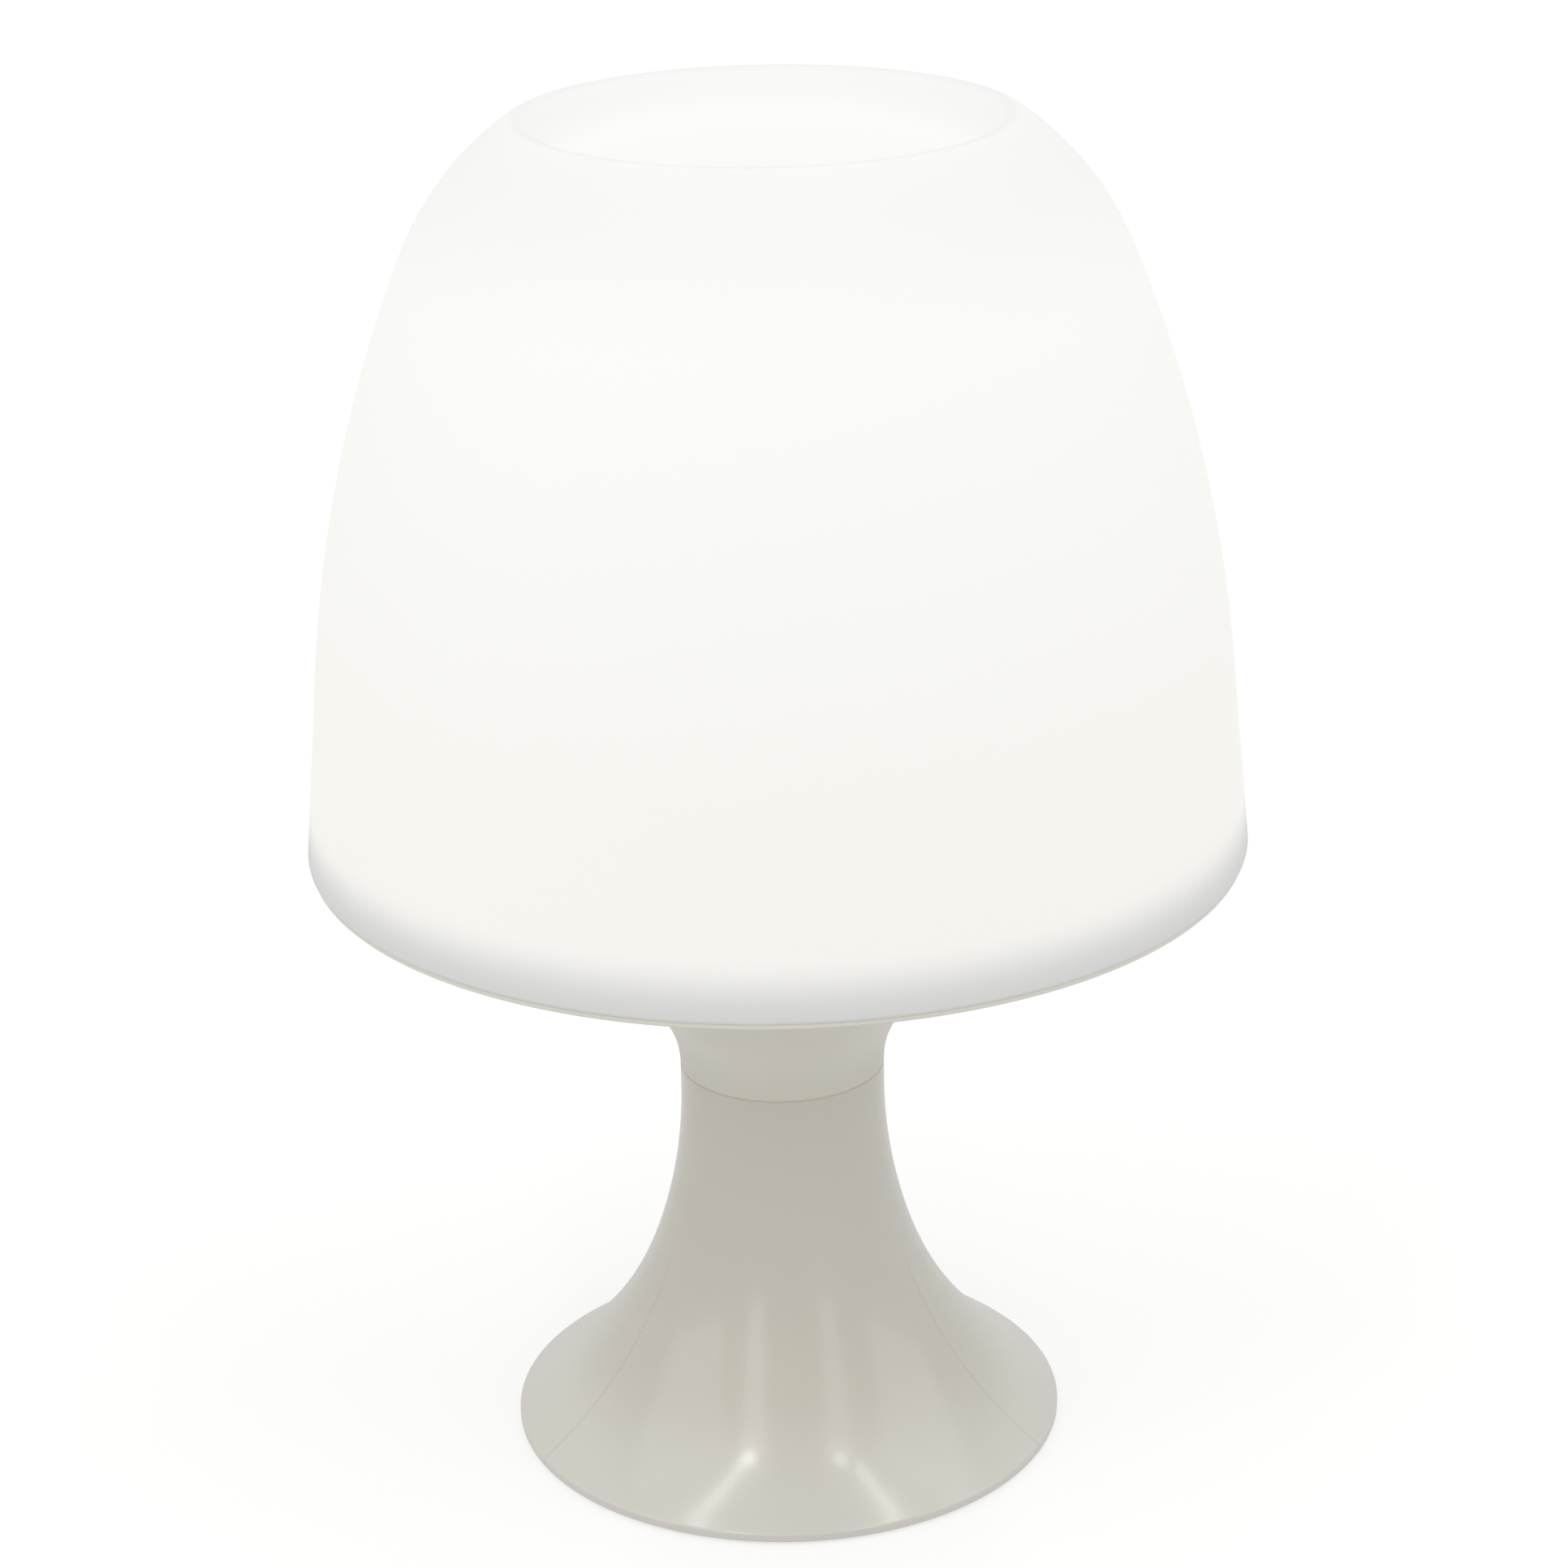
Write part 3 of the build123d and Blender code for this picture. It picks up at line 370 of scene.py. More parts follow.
def parting_group() -> Tree:
    """Builds the line that a mould's joint leaves down one side.

    Returns:
        A group that puts out a mask, 1 on the line and 0 away from it.
    """
    graph, given, out = open_group("parting_line", {"Direction": 0.0, "Width": 0.0004}, "Mask")
    split = graph.add("ShaderNodeSeparateXYZ", {"Vector": graph.place()})
    across = split.outputs["X"]
    deep = split.outputs["Y"]
    cosine = graph.math("COSINE", given["Direction"])
    sine = graph.math("SINE", given["Direction"])
    along = graph.math("ADD", graph.math("MULTIPLY", across, cosine), graph.math("MULTIPLY", deep, sine))
    aside = graph.math("SUBTRACT", graph.math("MULTIPLY", deep, cosine), graph.math("MULTIPLY", across, sine))
    near = graph.ramp(graph.math("ABSOLUTE", aside), given["Width"], 0.0)
    ahead = graph.math("GREATER_THAN", along, 0.0)
    graph.put(out["Mask"], graph.math("MULTIPLY", near, ahead))
    return graph.tree


@dataclass(frozen=True)
class Effects:
    """Shader groups that several finishes share.

    Attributes:
        grain: Fine grain of moulded plastic.
        band: Soft change over the lamp's height.
        scuffs: Rubbing marks.
        parting: Line of a mould's joint.
    """

    grain: Tree
    band: Tree
    scuffs: Tree
    parting: Tree


EFFECTS = Effects(grain_group(), band_group(), scuff_group(), parting_group())


# Finishes


BLACK: Color = (0.0, 0.0, 0.0, 1.0)


def toned(color: Color, gain: float, lift: float = 0.0) -> Color:
    """Makes a colour lighter or darker by a factor and an added level, with no level over 1."""
    red, green, blue = [min(1.0, lift + gain * level) for level in color[:3]]
    return red, green, blue, 1.0


class Paint(Graph):
    """Graph of one material, with short forms for its Principled shader."""

    def __init__(self, material: bpy.types.Material) -> None:
        """Keeps the tree and the shader of a material that uses nodes."""
        super().__init__(material.node_tree)
        self.surface = material.node_tree.nodes["Principled BSDF"]

    def feed(self, name: str, value: Any) -> None:
        """Joins an input of the shader to a socket or sets its value."""
        self.put(self.surface.inputs[name], value)

    def effect(self, group: Tree, **values: Any) -> Any:
        """Places a shared effect.

        Args:
            group: Shader group of the effect.
            **values: Values of its inputs, with underscores for the spaces in their names.

        Returns:
            The effect's output sockets by name.
        """
        node = self.add("ShaderNodeGroup", node_tree=group)
        for name, value in values.items():
            self.put(node.inputs[name.replace("_", " ")], value)
        return node.outputs

    def from_axis(self) -> Socket:
        """Measures the distance from the lamp's axis.

        Returns:
            The distance's socket.
        """
        flat = self.add("ShaderNodeVectorMath", {0: self.place(), 1: (1.0, 1.0, 0.0)}, operation="MULTIPLY")
        length = self.add("ShaderNodeVectorMath", {0: flat.outputs[0]}, operation="LENGTH")
        return length.outputs["Value"]

    def relief(self, height: Any, strength: float, depth: float) -> None:
        """Gives the surface a fine relief by its height, the share that shows and its depth."""
        bump = self.add("ShaderNodeBump", {"Height": height, "Strength": strength, "Distance": depth})
        self.feed("Normal", bump.outputs["Normal"])


@dataclass(frozen=True)
class Finish:
    """Finish of one kind of surface.

    Attributes:
        slot: Material slot that the finish belongs to.
        color: Colour in plain light.
        roughness: Roughness of a clean surface.
    """

    slot: Slot
    color: Color
    roughness: float

    def material(self) -> bpy.types.Material:
        """Finds the finish's material, or makes it the first time.

        Returns:
            The material.
        """
        name = f"{self.slot.value}_finish"
        found = bpy.data.materials.get(name)
        if found:
            return found
        made = bpy.data.materials.new(name)
        made.use_nodes = True
        paint = Paint(made)
        paint.feed("Base Color", self.color)
        paint.feed("Roughness", self.roughness)
        self.dress(paint)
        return made

    def dress(self, paint: Paint) -> None:
        """Adds the finish's own detail to the graph of its material."""
        raise NotImplementedError


@dataclass(frozen=True)
class GlowFinish(Finish):
    """Matte translucent plastic with light behind it.

    Attributes:
        glow_low: Light let through low on the shade.
        glow_high: Light let through at its top.
        glow_strength: Level of the light.
        band_low: Height below which the tray's rim keeps the light back.
        band_high: Height above which the light is full.
        band_share: Share of the light that is left in the band.
        band_color: Colour of the light in the band.
        fade_low: Height where the change towards the top starts.
        fade_high: Height where it ends.
        brow_shade_low: Height where the painted shade on the brow starts.
        brow_shade_high: Height of the crest, where the painted shade on the brow is full.
        brow_shade_share: Share of the light that the painted shade on the brow takes away at the crest.
        crest_radius: Radius inside which the dish's wall starts.
        crest_shade_width: Half width of the painted shade along the crest.
        crest_shade_share: Share of the light that the painted shade along the crest takes away.
        dish_low: Height of the dish's floor.
        dish_floor_shade: Share of the light that the painted shade takes away on the dish's floor.
        dish_wall_shade: Share of the light that the painted shade takes away on the dish's wall.
        wall_start: Width over which the dish's wall starts.
        wall_rise: Height over which the dish's floor turns into its wall.
        painted_shade_color: Colour that the painted shade darkens the light towards.
        cloud_color: Colour of the clouding in the wall.
        cloud_share: Share of the clouding.
        hollow_polish: Roughness that the hollows of the grain lose.
        peak_roughness: Roughness that the peaks of the grain gain.
        shine: Level of the surface's own reflections.
    """

    glow_low: Color
    glow_high: Color
    glow_strength: float
    band_low: float
    band_high: float
    band_share: float
    band_color: Color
    fade_low: float
    fade_high: float
    brow_shade_low: float
    brow_shade_high: float
    brow_shade_share: float
    crest_radius: float
    crest_shade_width: float
    crest_shade_share: float
    dish_low: float
    dish_floor_shade: float
    dish_wall_shade: float
    wall_start: float = 0.0016
    wall_rise: float = 0.003
    painted_shade_color: Color = (0.0, 0.0, 0.02, 1.0)
    cloud_color: Color = (0.9, 0.9, 0.88, 1.0)
    cloud_share: float = 0.035
    hollow_polish: float = 0.05
    peak_roughness: float = 0.08
    shine: float = 0.04

    def dress(self, paint: Paint) -> None:
        """Adds the light through the wall, its clouding, painted shade on the brow, along the crest and in
        the dish, and a fine matte grain.

        Args:
            paint: Graph of the material.
        """
        grain = paint.effect(EFFECTS.grain, Grain_Scale=1500.0, Cloud_Scale=16.0)
        fade = paint.effect(EFFECTS.band, Low=self.fade_low, High=self.fade_high)
        band = paint.effect(EFFECTS.band, Low=self.band_low, High=self.band_high)
        light = paint.mix(fade["Share"], self.glow_low, self.glow_high)
        clouds = paint.math("MULTIPLY", grain["Cloud"], self.cloud_share)
        clouded = paint.mix(clouds, light, self.cloud_color)
        # Painted shade: the light through the wall is darkened in the dish, on the brow towards the crest and
        # in a line along the crest, for how the studio light falls there.
        reach = paint.from_axis()
        inside = paint.ramp(reach, self.crest_radius, self.crest_radius - self.wall_start)
        wall = paint.effect(EFFECTS.band, Low=self.dish_low, High=self.dish_low + self.wall_rise)
        dish_shade_by_height = paint.ramp(wall["Share"], 0.0, 1.0, self.dish_floor_shade, self.dish_wall_shade)
        dish_shade = paint.math("MULTIPLY", inside, dish_shade_by_height)
        top = paint.effect(EFFECTS.band, Low=self.brow_shade_low, High=self.brow_shade_high)
        brow_and_dish_shade = paint.math("MULTIPLY_ADD", top["Share"], self.brow_shade_share, dish_shade)
        off_crest = paint.math("ABSOLUTE", paint.math("SUBTRACT", reach, self.crest_radius))
        crest = paint.ramp(off_crest, self.crest_shade_width, 0.0)
        painted_shade = paint.math("MULTIPLY_ADD", crest, self.crest_shade_share, brow_and_dish_shade)
        shaded_glow = paint.mix(painted_shade, clouded, self.painted_shade_color)
        held_back = paint.mix(self.band_share, BLACK, self.band_color)
        paint.feed("Emission Color", paint.mix(band["Share"], held_back, shaded_glow))
        paint.feed("Emission Strength", self.glow_strength)
        smoothest = self.roughness - self.hollow_polish
        roughest = self.roughness + self.peak_roughness
        rough = paint.ramp(grain["Height"], low=0.2, high=0.8, bottom=smoothest, top=roughest)
        paint.feed("Roughness", rough)
        paint.feed("Specular IOR Level", self.shine)
        paint.relief(grain["Height"], strength=0.12, depth=0.00003)


@dataclass(frozen=True)
class ShellFinish(Finish):
    """Moulded plastic of the base and the tray.

    Attributes:
        painted_light_color: Colour higher up, a painted shade up the base's neck and a painted light up the
            tray's collar.
        painted_light_low: Height where the painted change of light towards that colour starts.
        painted_light_high: Height where it ends.
        gloss: Weight of the smooth skin.
        ripple: Depth of the slow ripple in the skin.
        gloss_roughness: Roughness of the smooth skin.
        line_directions: Directions of the lines that the mould's joints leave.
        line_top: Height where those lines start to fade out.
        line_fade: Height over which they fade out.
        line_width: Half width of a line.
        line_color: Colour of the lines.
        line_share: Share of that colour.
        line_height: Height of the lines beside the ripple.
        cloud_share: Share of the slow darker tone.
        cloud_roughness: Roughness that goes with that tone.
        rub_roughness: Roughness that rubbing adds.
        rub_gloss: Weight of the skin that rubbing takes away.
        grain_share: Height of the fine grain beside the ripple.
    """

    painted_light_color: Color
    painted_light_low: float
    painted_light_high: float
    gloss: float
    ripple: float
    gloss_roughness: float = 0.12
    line_directions: tuple[float, ...] = ()
    line_top: float = 0.028
    line_fade: float = 0.012
    line_width: float = 0.00042
    line_color: Color = (0.30, 0.28, 0.25, 1.0)
    line_share: float = 0.17
    line_height: float = 0.4
    cloud_share: float = 0.04
    cloud_roughness: float = 0.03
    rub_roughness: float = 0.06
    rub_gloss: float = 0.08
    grain_share: float = 0.05

    def dress(self, paint: Paint) -> None:
        """Adds slow tone changes, a painted change of light over the height, rubbing marks, parting lines and
        a ripple.

        Args:
            paint: Graph of the material.
        """
        grain = paint.effect(EFFECTS.grain, Grain_Scale=900.0, Cloud_Scale=22.0)
        scuffs = paint.effect(EFFECTS.scuffs, Scale=70.0, Amount=0.3)
        # Painted light: the colour changes with height for how the light falls, darker up the base's neck and
        # lighter up the tray's collar.
        painted_light_share = paint.effect(EFFECTS.band, Low=self.painted_light_low, High=self.painted_light_high)
        lit_and_shaded_tone = paint.mix(painted_light_share["Share"], self.color, self.painted_light_color)
        tone = paint.mix(paint.math("MULTIPLY", grain["Cloud"], self.cloud_share), lit_and_shaded_tone, BLACK)
        height = paint.math("MULTIPLY", grain["Cloud"], self.ripple)
        if self.line_directions:
            lines = self.lines(paint)
            tone = paint.mix(paint.math("MULTIPLY", lines, self.line_share), tone, self.line_color)
            height = paint.math("ADD", height, paint.math("MULTIPLY", lines, self.line_height))
        paint.feed("Base Color", tone)
        rubbed = paint.math("MULTIPLY_ADD", scuffs["Mask"], self.rub_roughness, self.roughness)
        paint.feed("Roughness", paint.math("MULTIPLY_ADD", grain["Cloud"], self.cloud_roughness, rubbed))
        paint.feed("Coat Weight", paint.math("MULTIPLY_ADD", scuffs["Mask"], -self.rub_gloss, self.gloss))
        paint.feed("Coat Roughness", self.gloss_roughness)
        fine = paint.math("MULTIPLY_ADD", grain["Height"], self.grain_share, height)
        paint.relief(fine, strength=0.25, depth=0.0001)

    def lines(self, paint: Paint) -> Socket:
        """Masks the parting lines, which fade out upwards.

        Args:
            paint: Graph of the material.

        Returns:
            The mask's socket.
        """
        mask: Any = 0.0
        for direction in self.line_directions:
            turn = math.radians(direction)
            line = paint.effect(EFFECTS.parting, Direction=turn, Width=self.line_width)
            mask = paint.math("MAXIMUM", mask, line["Mask"])
        fade = paint.effect(EFFECTS.band, Low=self.line_top, High=self.line_top + self.line_fade)
        return paint.math("MULTIPLY", mask, paint.math("SUBTRACT", 1.0, fade["Share"]))


@dataclass(frozen=True)
class GrainFinish(Finish):
    """Plain moulded plastic, rubber or wire skin with a visible grain.

    Attributes:
        shade_color: Colour of the hollows and slow patches.
        grain_scale: Fineness of the grain.
        grain_depth: Depth of the grain.
        wear: Share of rubbing marks.
        hollow_share: Share of that colour in the hollows.
        patch_share: Share of that colour in the patches.
        patch_roughness: Roughness that goes with the patches.
        rub_gain: Factor of the colour's levels in a rubbing mark.
        rub_lift: Level that is added to the colour there.
        rub_polish: Roughness that rubbing takes away.
    """

    shade_color: Color
    grain_scale: float = 900.0
    grain_depth: float = 0.00003
    wear: float = 0.2
    hollow_share: float = 0.45
    patch_share: float = 0.2
    patch_roughness: float = 0.08
    rub_gain: float = 1.1
    rub_lift: float = 0.06
    rub_polish: float = 0.1

    def dress(self, paint: Paint) -> None:
        """Adds the grain, slow patches and rubbing marks.

        Args:
            paint: Graph of the material.
        """
        grain = paint.effect(EFFECTS.grain, Grain_Scale=self.grain_scale, Cloud_Scale=90.0)
        scuffs = paint.effect(EFFECTS.scuffs, Scale=110.0, Amount=self.wear)
        hollow = paint.ramp(grain["Height"], low=0.35, high=0.65, bottom=self.hollow_share, top=0.0)
        patched = paint.math("MULTIPLY_ADD", grain["Cloud"], self.patch_share, hollow, clamp=True)
        tone = paint.mix(patched, self.color, self.shade_color)
        pale = toned(self.color, self.rub_gain, self.rub_lift)
        paint.feed("Base Color", paint.mix(scuffs["Mask"], tone, pale))
        rough = paint.math("MULTIPLY_ADD", grain["Cloud"], self.patch_roughness, self.roughness)
        paint.feed("Roughness", paint.math("MULTIPLY_ADD", scuffs["Mask"], -self.rub_polish, rough))
        paint.relief(grain["Height"], strength=0.5, depth=self.grain_depth)


@dataclass(frozen=True)
class FoamFinish(Finish):
    """Open-cell foam.

    Attributes:
        pore_scale: Fineness of the pores.
        pore_tone: Share of the colour that is left in a pore.
    """

    pore_scale: float
    pore_tone: float = 0.3

    def dress(self, paint: Paint) -> None:
        """Adds dark pores.

        Args:
            paint: Graph of the material.
        """
        pores = paint.add("ShaderNodeTexVoronoi", {"Vector": paint.place(), "Scale": self.pore_scale})
        wall = paint.ramp(pores.outputs["Distance"], low=0.1, high=0.7)
        paint.feed("Base Color", paint.mix(wall, toned(self.color, self.pore_tone), self.color))
        paint.relief(wall, strength=0.8, depth=0.0003)


@dataclass(frozen=True)
class MetalFinish(Finish):
    """Plated metal.

    Attributes:
        stain_color: Colour of the duller patches.
        brush_scale: Fineness of the drawing marks.
        stain_roughness: Roughness that goes with the patches.
        rub_roughness: Roughness that rubbing adds.
        recess_shade_color: Colour of the painted shade in a cut recess.
        recess_shade: Share of that painted shade.
    """

    stain_color: Color
    brush_scale: float
    stain_roughness: float = 0.12
    rub_roughness: float = 0.2
    recess_shade_color: Color = (0.03, 0.03, 0.03, 1.0)
    recess_shade: float = 0.85

    def dress(self, paint: Paint) -> None:
        """Adds drawing marks, duller patches and painted shade in the recesses.

        Args:
            paint: Graph of the material.
        """
        grain = paint.effect(EFFECTS.grain, Grain_Scale=self.brush_scale, Cloud_Scale=260.0)
        scuffs = paint.effect(EFFECTS.scuffs, Scale=240.0, Amount=0.7)
        stained = paint.mix(grain["Cloud"], self.color, self.stain_color)
        # Painted shade: the faces of a cut recess are darkened towards black.
        recess = paint.add("ShaderNodeAttribute", attribute_name=RECESS_MARK).outputs["Fac"]
        recess_shaded = paint.math("MULTIPLY", recess, self.recess_shade)
        paint.feed("Base Color", paint.mix(recess_shaded, stained, self.recess_shade_color))
        paint.feed("Metallic", 1.0)
        rough = paint.math("MULTIPLY_ADD", scuffs["Mask"], self.rub_roughness, self.roughness)
        paint.feed("Roughness", paint.math("MULTIPLY_ADD", grain["Cloud"], self.stain_roughness, rough))
        paint.relief(grain["Height"], strength=0.3, depth=0.00002)


@dataclass(frozen=True)
class ChipFinish(Finish):
    """White chip housings under yellow phosphor lenses.

    Attributes:
        lens_color: Colour of the lens.
        lens_height: Height where the lens starts.
        glow_strength: Level of the lens's light.
        lens_edge: Half height of the change from the housing to the lens.
        speck_color: Colour of the specks in the lens.
        speck_share: Share of that colour.
    """

    lens_color: Color
    lens_height: float
    glow_strength: float
    lens_edge: float = 0.00005
    speck_color: Color = (0.95, 0.62, 0.10, 1.0)
    speck_share: float = 0.3

    def dress(self, paint: Paint) -> None:
        """Colours and lights the lens above its housing.

        Args:
            paint: Graph of the material.
        """
        grain = paint.effect(EFFECTS.grain, Grain_Scale=2600.0, Cloud_Scale=300.0)
        low = self.lens_height - self.lens_edge
        lens = paint.effect(EFFECTS.band, Low=low, High=self.lens_height + self.lens_edge)
        specks = paint.math("MULTIPLY", grain["Height"], self.speck_share)
        speckled = paint.mix(specks, self.lens_color, self.speck_color)
        paint.feed("Base Color", paint.mix(lens["Share"], self.color, speckled))
        paint.feed("Emission Color", paint.mix(lens["Share"], BLACK, speckled))
        paint.feed("Emission Strength", self.glow_strength)
        paint.relief(grain["Height"], strength=0.2, depth=0.00002)


@dataclass(frozen=True)
class BoardFinish(Finish):
    """White lacquered circuit board.

    Attributes:
        track_color: Colour of the lacquer over the copper tracks.
        track_radius: Radius of the ring track under the chips.
        track_width: Half width of the track.
        track_edge: Share of that width over which its edge slopes to each side.
        patch_tone: Share of the colour that is left in the slow patches.
        patch_share: Share of those patches.
        grain_share: Height of the fine grain beside the track.
    """

    track_color: Color
    track_radius: float
    track_width: float
    track_edge: float = 0.1
    patch_tone: float = 0.94
    patch_share: float = 0.5
    grain_share: float = 0.1

    def dress(self, paint: Paint) -> None:
        """Adds a ring track that stands up a little under the lacquer.

        Args:
            paint: Graph of the material.
        """
        grain = paint.effect(EFFECTS.grain, Grain_Scale=1800.0, Cloud_Scale=120.0)
        off_track = paint.math("ABSOLUTE", paint.math("SUBTRACT", paint.from_axis(), self.track_radius))
        slope = self.track_edge * self.track_width
        track = paint.ramp(off_track, self.track_width + slope, self.track_width - slope)
        tone = paint.mix(track, self.color, self.track_color)
        patches = paint.math("MULTIPLY", grain["Cloud"], self.patch_share)
        paint.feed("Base Color", paint.mix(patches, tone, toned(self.color, self.patch_tone)))
        height = paint.math("MULTIPLY_ADD", grain["Height"], self.grain_share, track)
        paint.relief(height, strength=0.4, depth=0.00006)


@dataclass(frozen=True)
class Palette:
    """Finishes of the lamp, by what they are used for."""

    shade: Finish = GlowFinish(
        Slot.LIT_SHADE,
        (0.60, 0.60, 0.59, 1.0),
        0.55,
        glow_low=(1.0, 0.980, 0.918, 1.0),
        glow_high=(0.99, 0.985, 0.955, 1.0),
        glow_strength=0.432,
        band_low=0.1120,
        band_high=0.1222,
        band_share=0.39,
        band_color=(1.0, 0.985, 0.990, 1.0),
        fade_low=0.140,
        fade_high=0.205,
        # Painted shade on the brow, along the crest and in the dish.
        brow_shade_low=0.208,
        brow_shade_high=0.234,
        brow_shade_share=0.196,
        crest_radius=0.0399,
        crest_shade_width=0.0020,
        crest_shade_share=0.125,
        dish_low=0.2280,
        dish_floor_shade=0.035,
        dish_wall_shade=0.03,
    )
    # The base is painted lighter at the foot and darker up the neck, a painted shade under the lamp's head.
    shell: Finish = ShellFinish(
        Slot.GLOSS_SHELL,
        (0.728, 0.705, 0.641, 1.0),
        0.22,
        painted_light_color=(0.679, 0.649, 0.565, 1.0),
        painted_light_low=0.004,
        painted_light_high=0.019,
        gloss=0.60,
        ripple=0.25,
        line_directions=(-153.0, -25.0),
    )
    # The tray is painted darker at the joint and lighter up the collar, painted shade and painted light.
    tray: Finish = ShellFinish(
        Slot.SATIN_TRAY,
        (0.740, 0.713, 0.627, 1.0),
        0.40,
        painted_light_color=(0.855, 0.825, 0.728, 1.0),
        painted_light_low=0.0685,
        painted_light_high=0.080,
        gloss=0.15,
        ripple=0.15,
    )
    underside: Finish = GrainFinish(
        Slot.UNDERSIDE_PLASTIC,
        (0.64, 0.61, 0.54, 1.0),
        0.5,
        shade_color=(0.55, 0.52, 0.45, 1.0),
        grain_scale=2600.0,
        grain_depth=0.00006,
        wear=0.35,
    )
    natural: Finish = GrainFinish(
        Slot.NATURAL_PLASTIC,
        (0.78, 0.77, 0.72, 1.0),
        0.42,
        shade_color=(0.68, 0.67, 0.62, 1.0),
        grain_scale=700.0,
        grain_depth=0.00004,
        wear=0.2,
    )
    black: Finish = GrainFinish(
        Slot.BLACK_PLASTIC,
        (0.022, 0.022, 0.024, 1.0),
        0.46,
        shade_color=(0.012, 0.012, 0.013, 1.0),
        grain_scale=1600.0,
        grain_depth=0.00006,
        wear=0.4,
    )
    rubber: Finish = GrainFinish(
        Slot.FOOT_RUBBER,
        (0.075, 0.074, 0.072, 1.0),
        0.78,
        shade_color=(0.04, 0.04, 0.04, 1.0),
        grain_scale=1300.0,
        grain_depth=0.00012,
        wear=0.5,
    )
    foam: Finish = FoamFinish(Slot.PAD_FOAM, (0.10, 0.10, 0.11, 1.0), 0.95, pore_scale=1500.0)
    wrap: Finish = GrainFinish(
        Slot.CELL_CAN,
        (0.16, 0.27, 0.38, 1.0),
        0.26,
        shade_color=(0.13, 0.23, 0.33, 1.0),
        grain_scale=500.0,
        grain_depth=0.00002,
        wear=0.3,
    )
    contact: Finish = MetalFinish(
        Slot.CONTACT_PLATE,
        (0.72, 0.69, 0.63, 1.0),
        0.26,
        stain_color=(0.55, 0.52, 0.47, 1.0),
        brush_scale=2400.0,
    )
    steel: Finish = MetalFinish(
        Slot.SCREW_STEEL,
        (0.62, 0.62, 0.63, 1.0),
        0.32,
        stain_color=(0.46, 0.46, 0.48, 1.0),
        brush_scale=1800.0,
    )
    board: Finish = BoardFinish(
        Slot.BOARD_WHITE,
        (0.86, 0.86, 0.84, 1.0),
        0.3,
        track_color=(0.80, 0.81, 0.76, 1.0),
        track_radius=0.0116,
        track_width=0.0011,
    )
    chip: Finish = ChipFinish(
        Slot.CHIP_PHOSPHOR,
        (0.86, 0.86, 0.84, 1.0),
        0.4,
        lens_color=(0.98, 0.80, 0.28, 1.0),
        lens_height=0.0862,
        glow_strength=2.0,
    )
    wire_black: Finish = GrainFinish(
        Slot.WIRE_BLACK,
        (0.03, 0.03, 0.032, 1.0),
        0.38,
        shade_color=(0.018, 0.018, 0.019, 1.0),
        wear=0.3,
    )
    wire_white: Finish = GrainFinish(
        Slot.WIRE_WHITE, (0.80, 0.80, 0.78, 1.0), 0.38, shade_color=(0.70, 0.70, 0.68, 1.0)
    )
    wire_red: Finish = GrainFinish(
        Slot.WIRE_RED, (0.48, 0.035, 0.03, 1.0), 0.38, shade_color=(0.36, 0.025, 0.022, 1.0)
    )


PALETTE = Palette()


# Geometry trees


RING_INPUTS: Inputs = {
    "Count": (WHOLE_NUMBER, 4),
    "Circle Radius": (NUMBER, 0.03),
    "Start Angle": (NUMBER, 0.0),
    "Height": (NUMBER, 0.0),
}


def open_geometry(name: str, inputs: Inputs) -> tuple[Graph, Any]:
    """Starts a geometry tree that takes a geometry and a material and gives one geometry.

    Args:
        name: Name of the tree.
        inputs: Socket type and starting value of each other named input.

    Returns:
        The tree's graph and its input sockets by name.
    """
    tree = bpy.data.node_groups.new(name, "GeometryNodeTree")
    tree.interface.new_socket(name="Geometry", in_out="INPUT", socket_type="NodeSocketGeometry")
    for label, (kind, value) in inputs.items():
        socket = tree.interface.new_socket(name=label, in_out="INPUT", socket_type=kind)
        socket.default_value = value
    tree.interface.new_socket(name="Material", in_out="INPUT", socket_type="NodeSocketMaterial")
    tree.interface.new_socket(name="Geometry", in_out="OUTPUT", socket_type="NodeSocketGeometry")
    graph = Graph(tree)
    return graph, graph.add("NodeGroupInput").outputs


def close_geometry(graph: Graph, geometry: Any, material: Any) -> Tree:
    """Ends a geometry tree with plain geometry in one material.

    Args:
        graph: Graph of the tree.
        geometry: Socket of the finished geometry.
        material: Socket of the material.

    Returns:
        The tree.
    """
    real = graph.add("GeometryNodeRealizeInstances", {"Geometry": geometry})
    dressed = graph.add("GeometryNodeSetMaterial", {"Geometry": real.outputs[0], "Material": material})
    graph.add("NodeGroupOutput", {"Geometry": dressed.outputs[0]})
    return graph.tree


def creased(graph: Graph, geometry: Any, angle: Any) -> Socket:
    """Shades a form smooth but for the edges that bend sharply.

    Args:
        graph: Graph of the tree.
        geometry: Socket of the form.
        angle: Bend from which an edge stays sharp.

    Returns:
        The socket of the shaded form.
    """
    smooth = graph.add("GeometryNodeSetShadeSmooth", {"Geometry": geometry}, domain="FACE")
    bend = graph.add("GeometryNodeInputMeshEdgeAngle").outputs["Unsigned Angle"]
    soft_edge = graph.math("LESS_THAN", bend, angle)
    shaded = graph.add("GeometryNodeSetShadeSmooth", {"Geometry": smooth.outputs[0]}, domain="EDGE")
    graph.put(shaded.inputs["Shade Smooth"], soft_edge)
    return shaded.outputs[0]


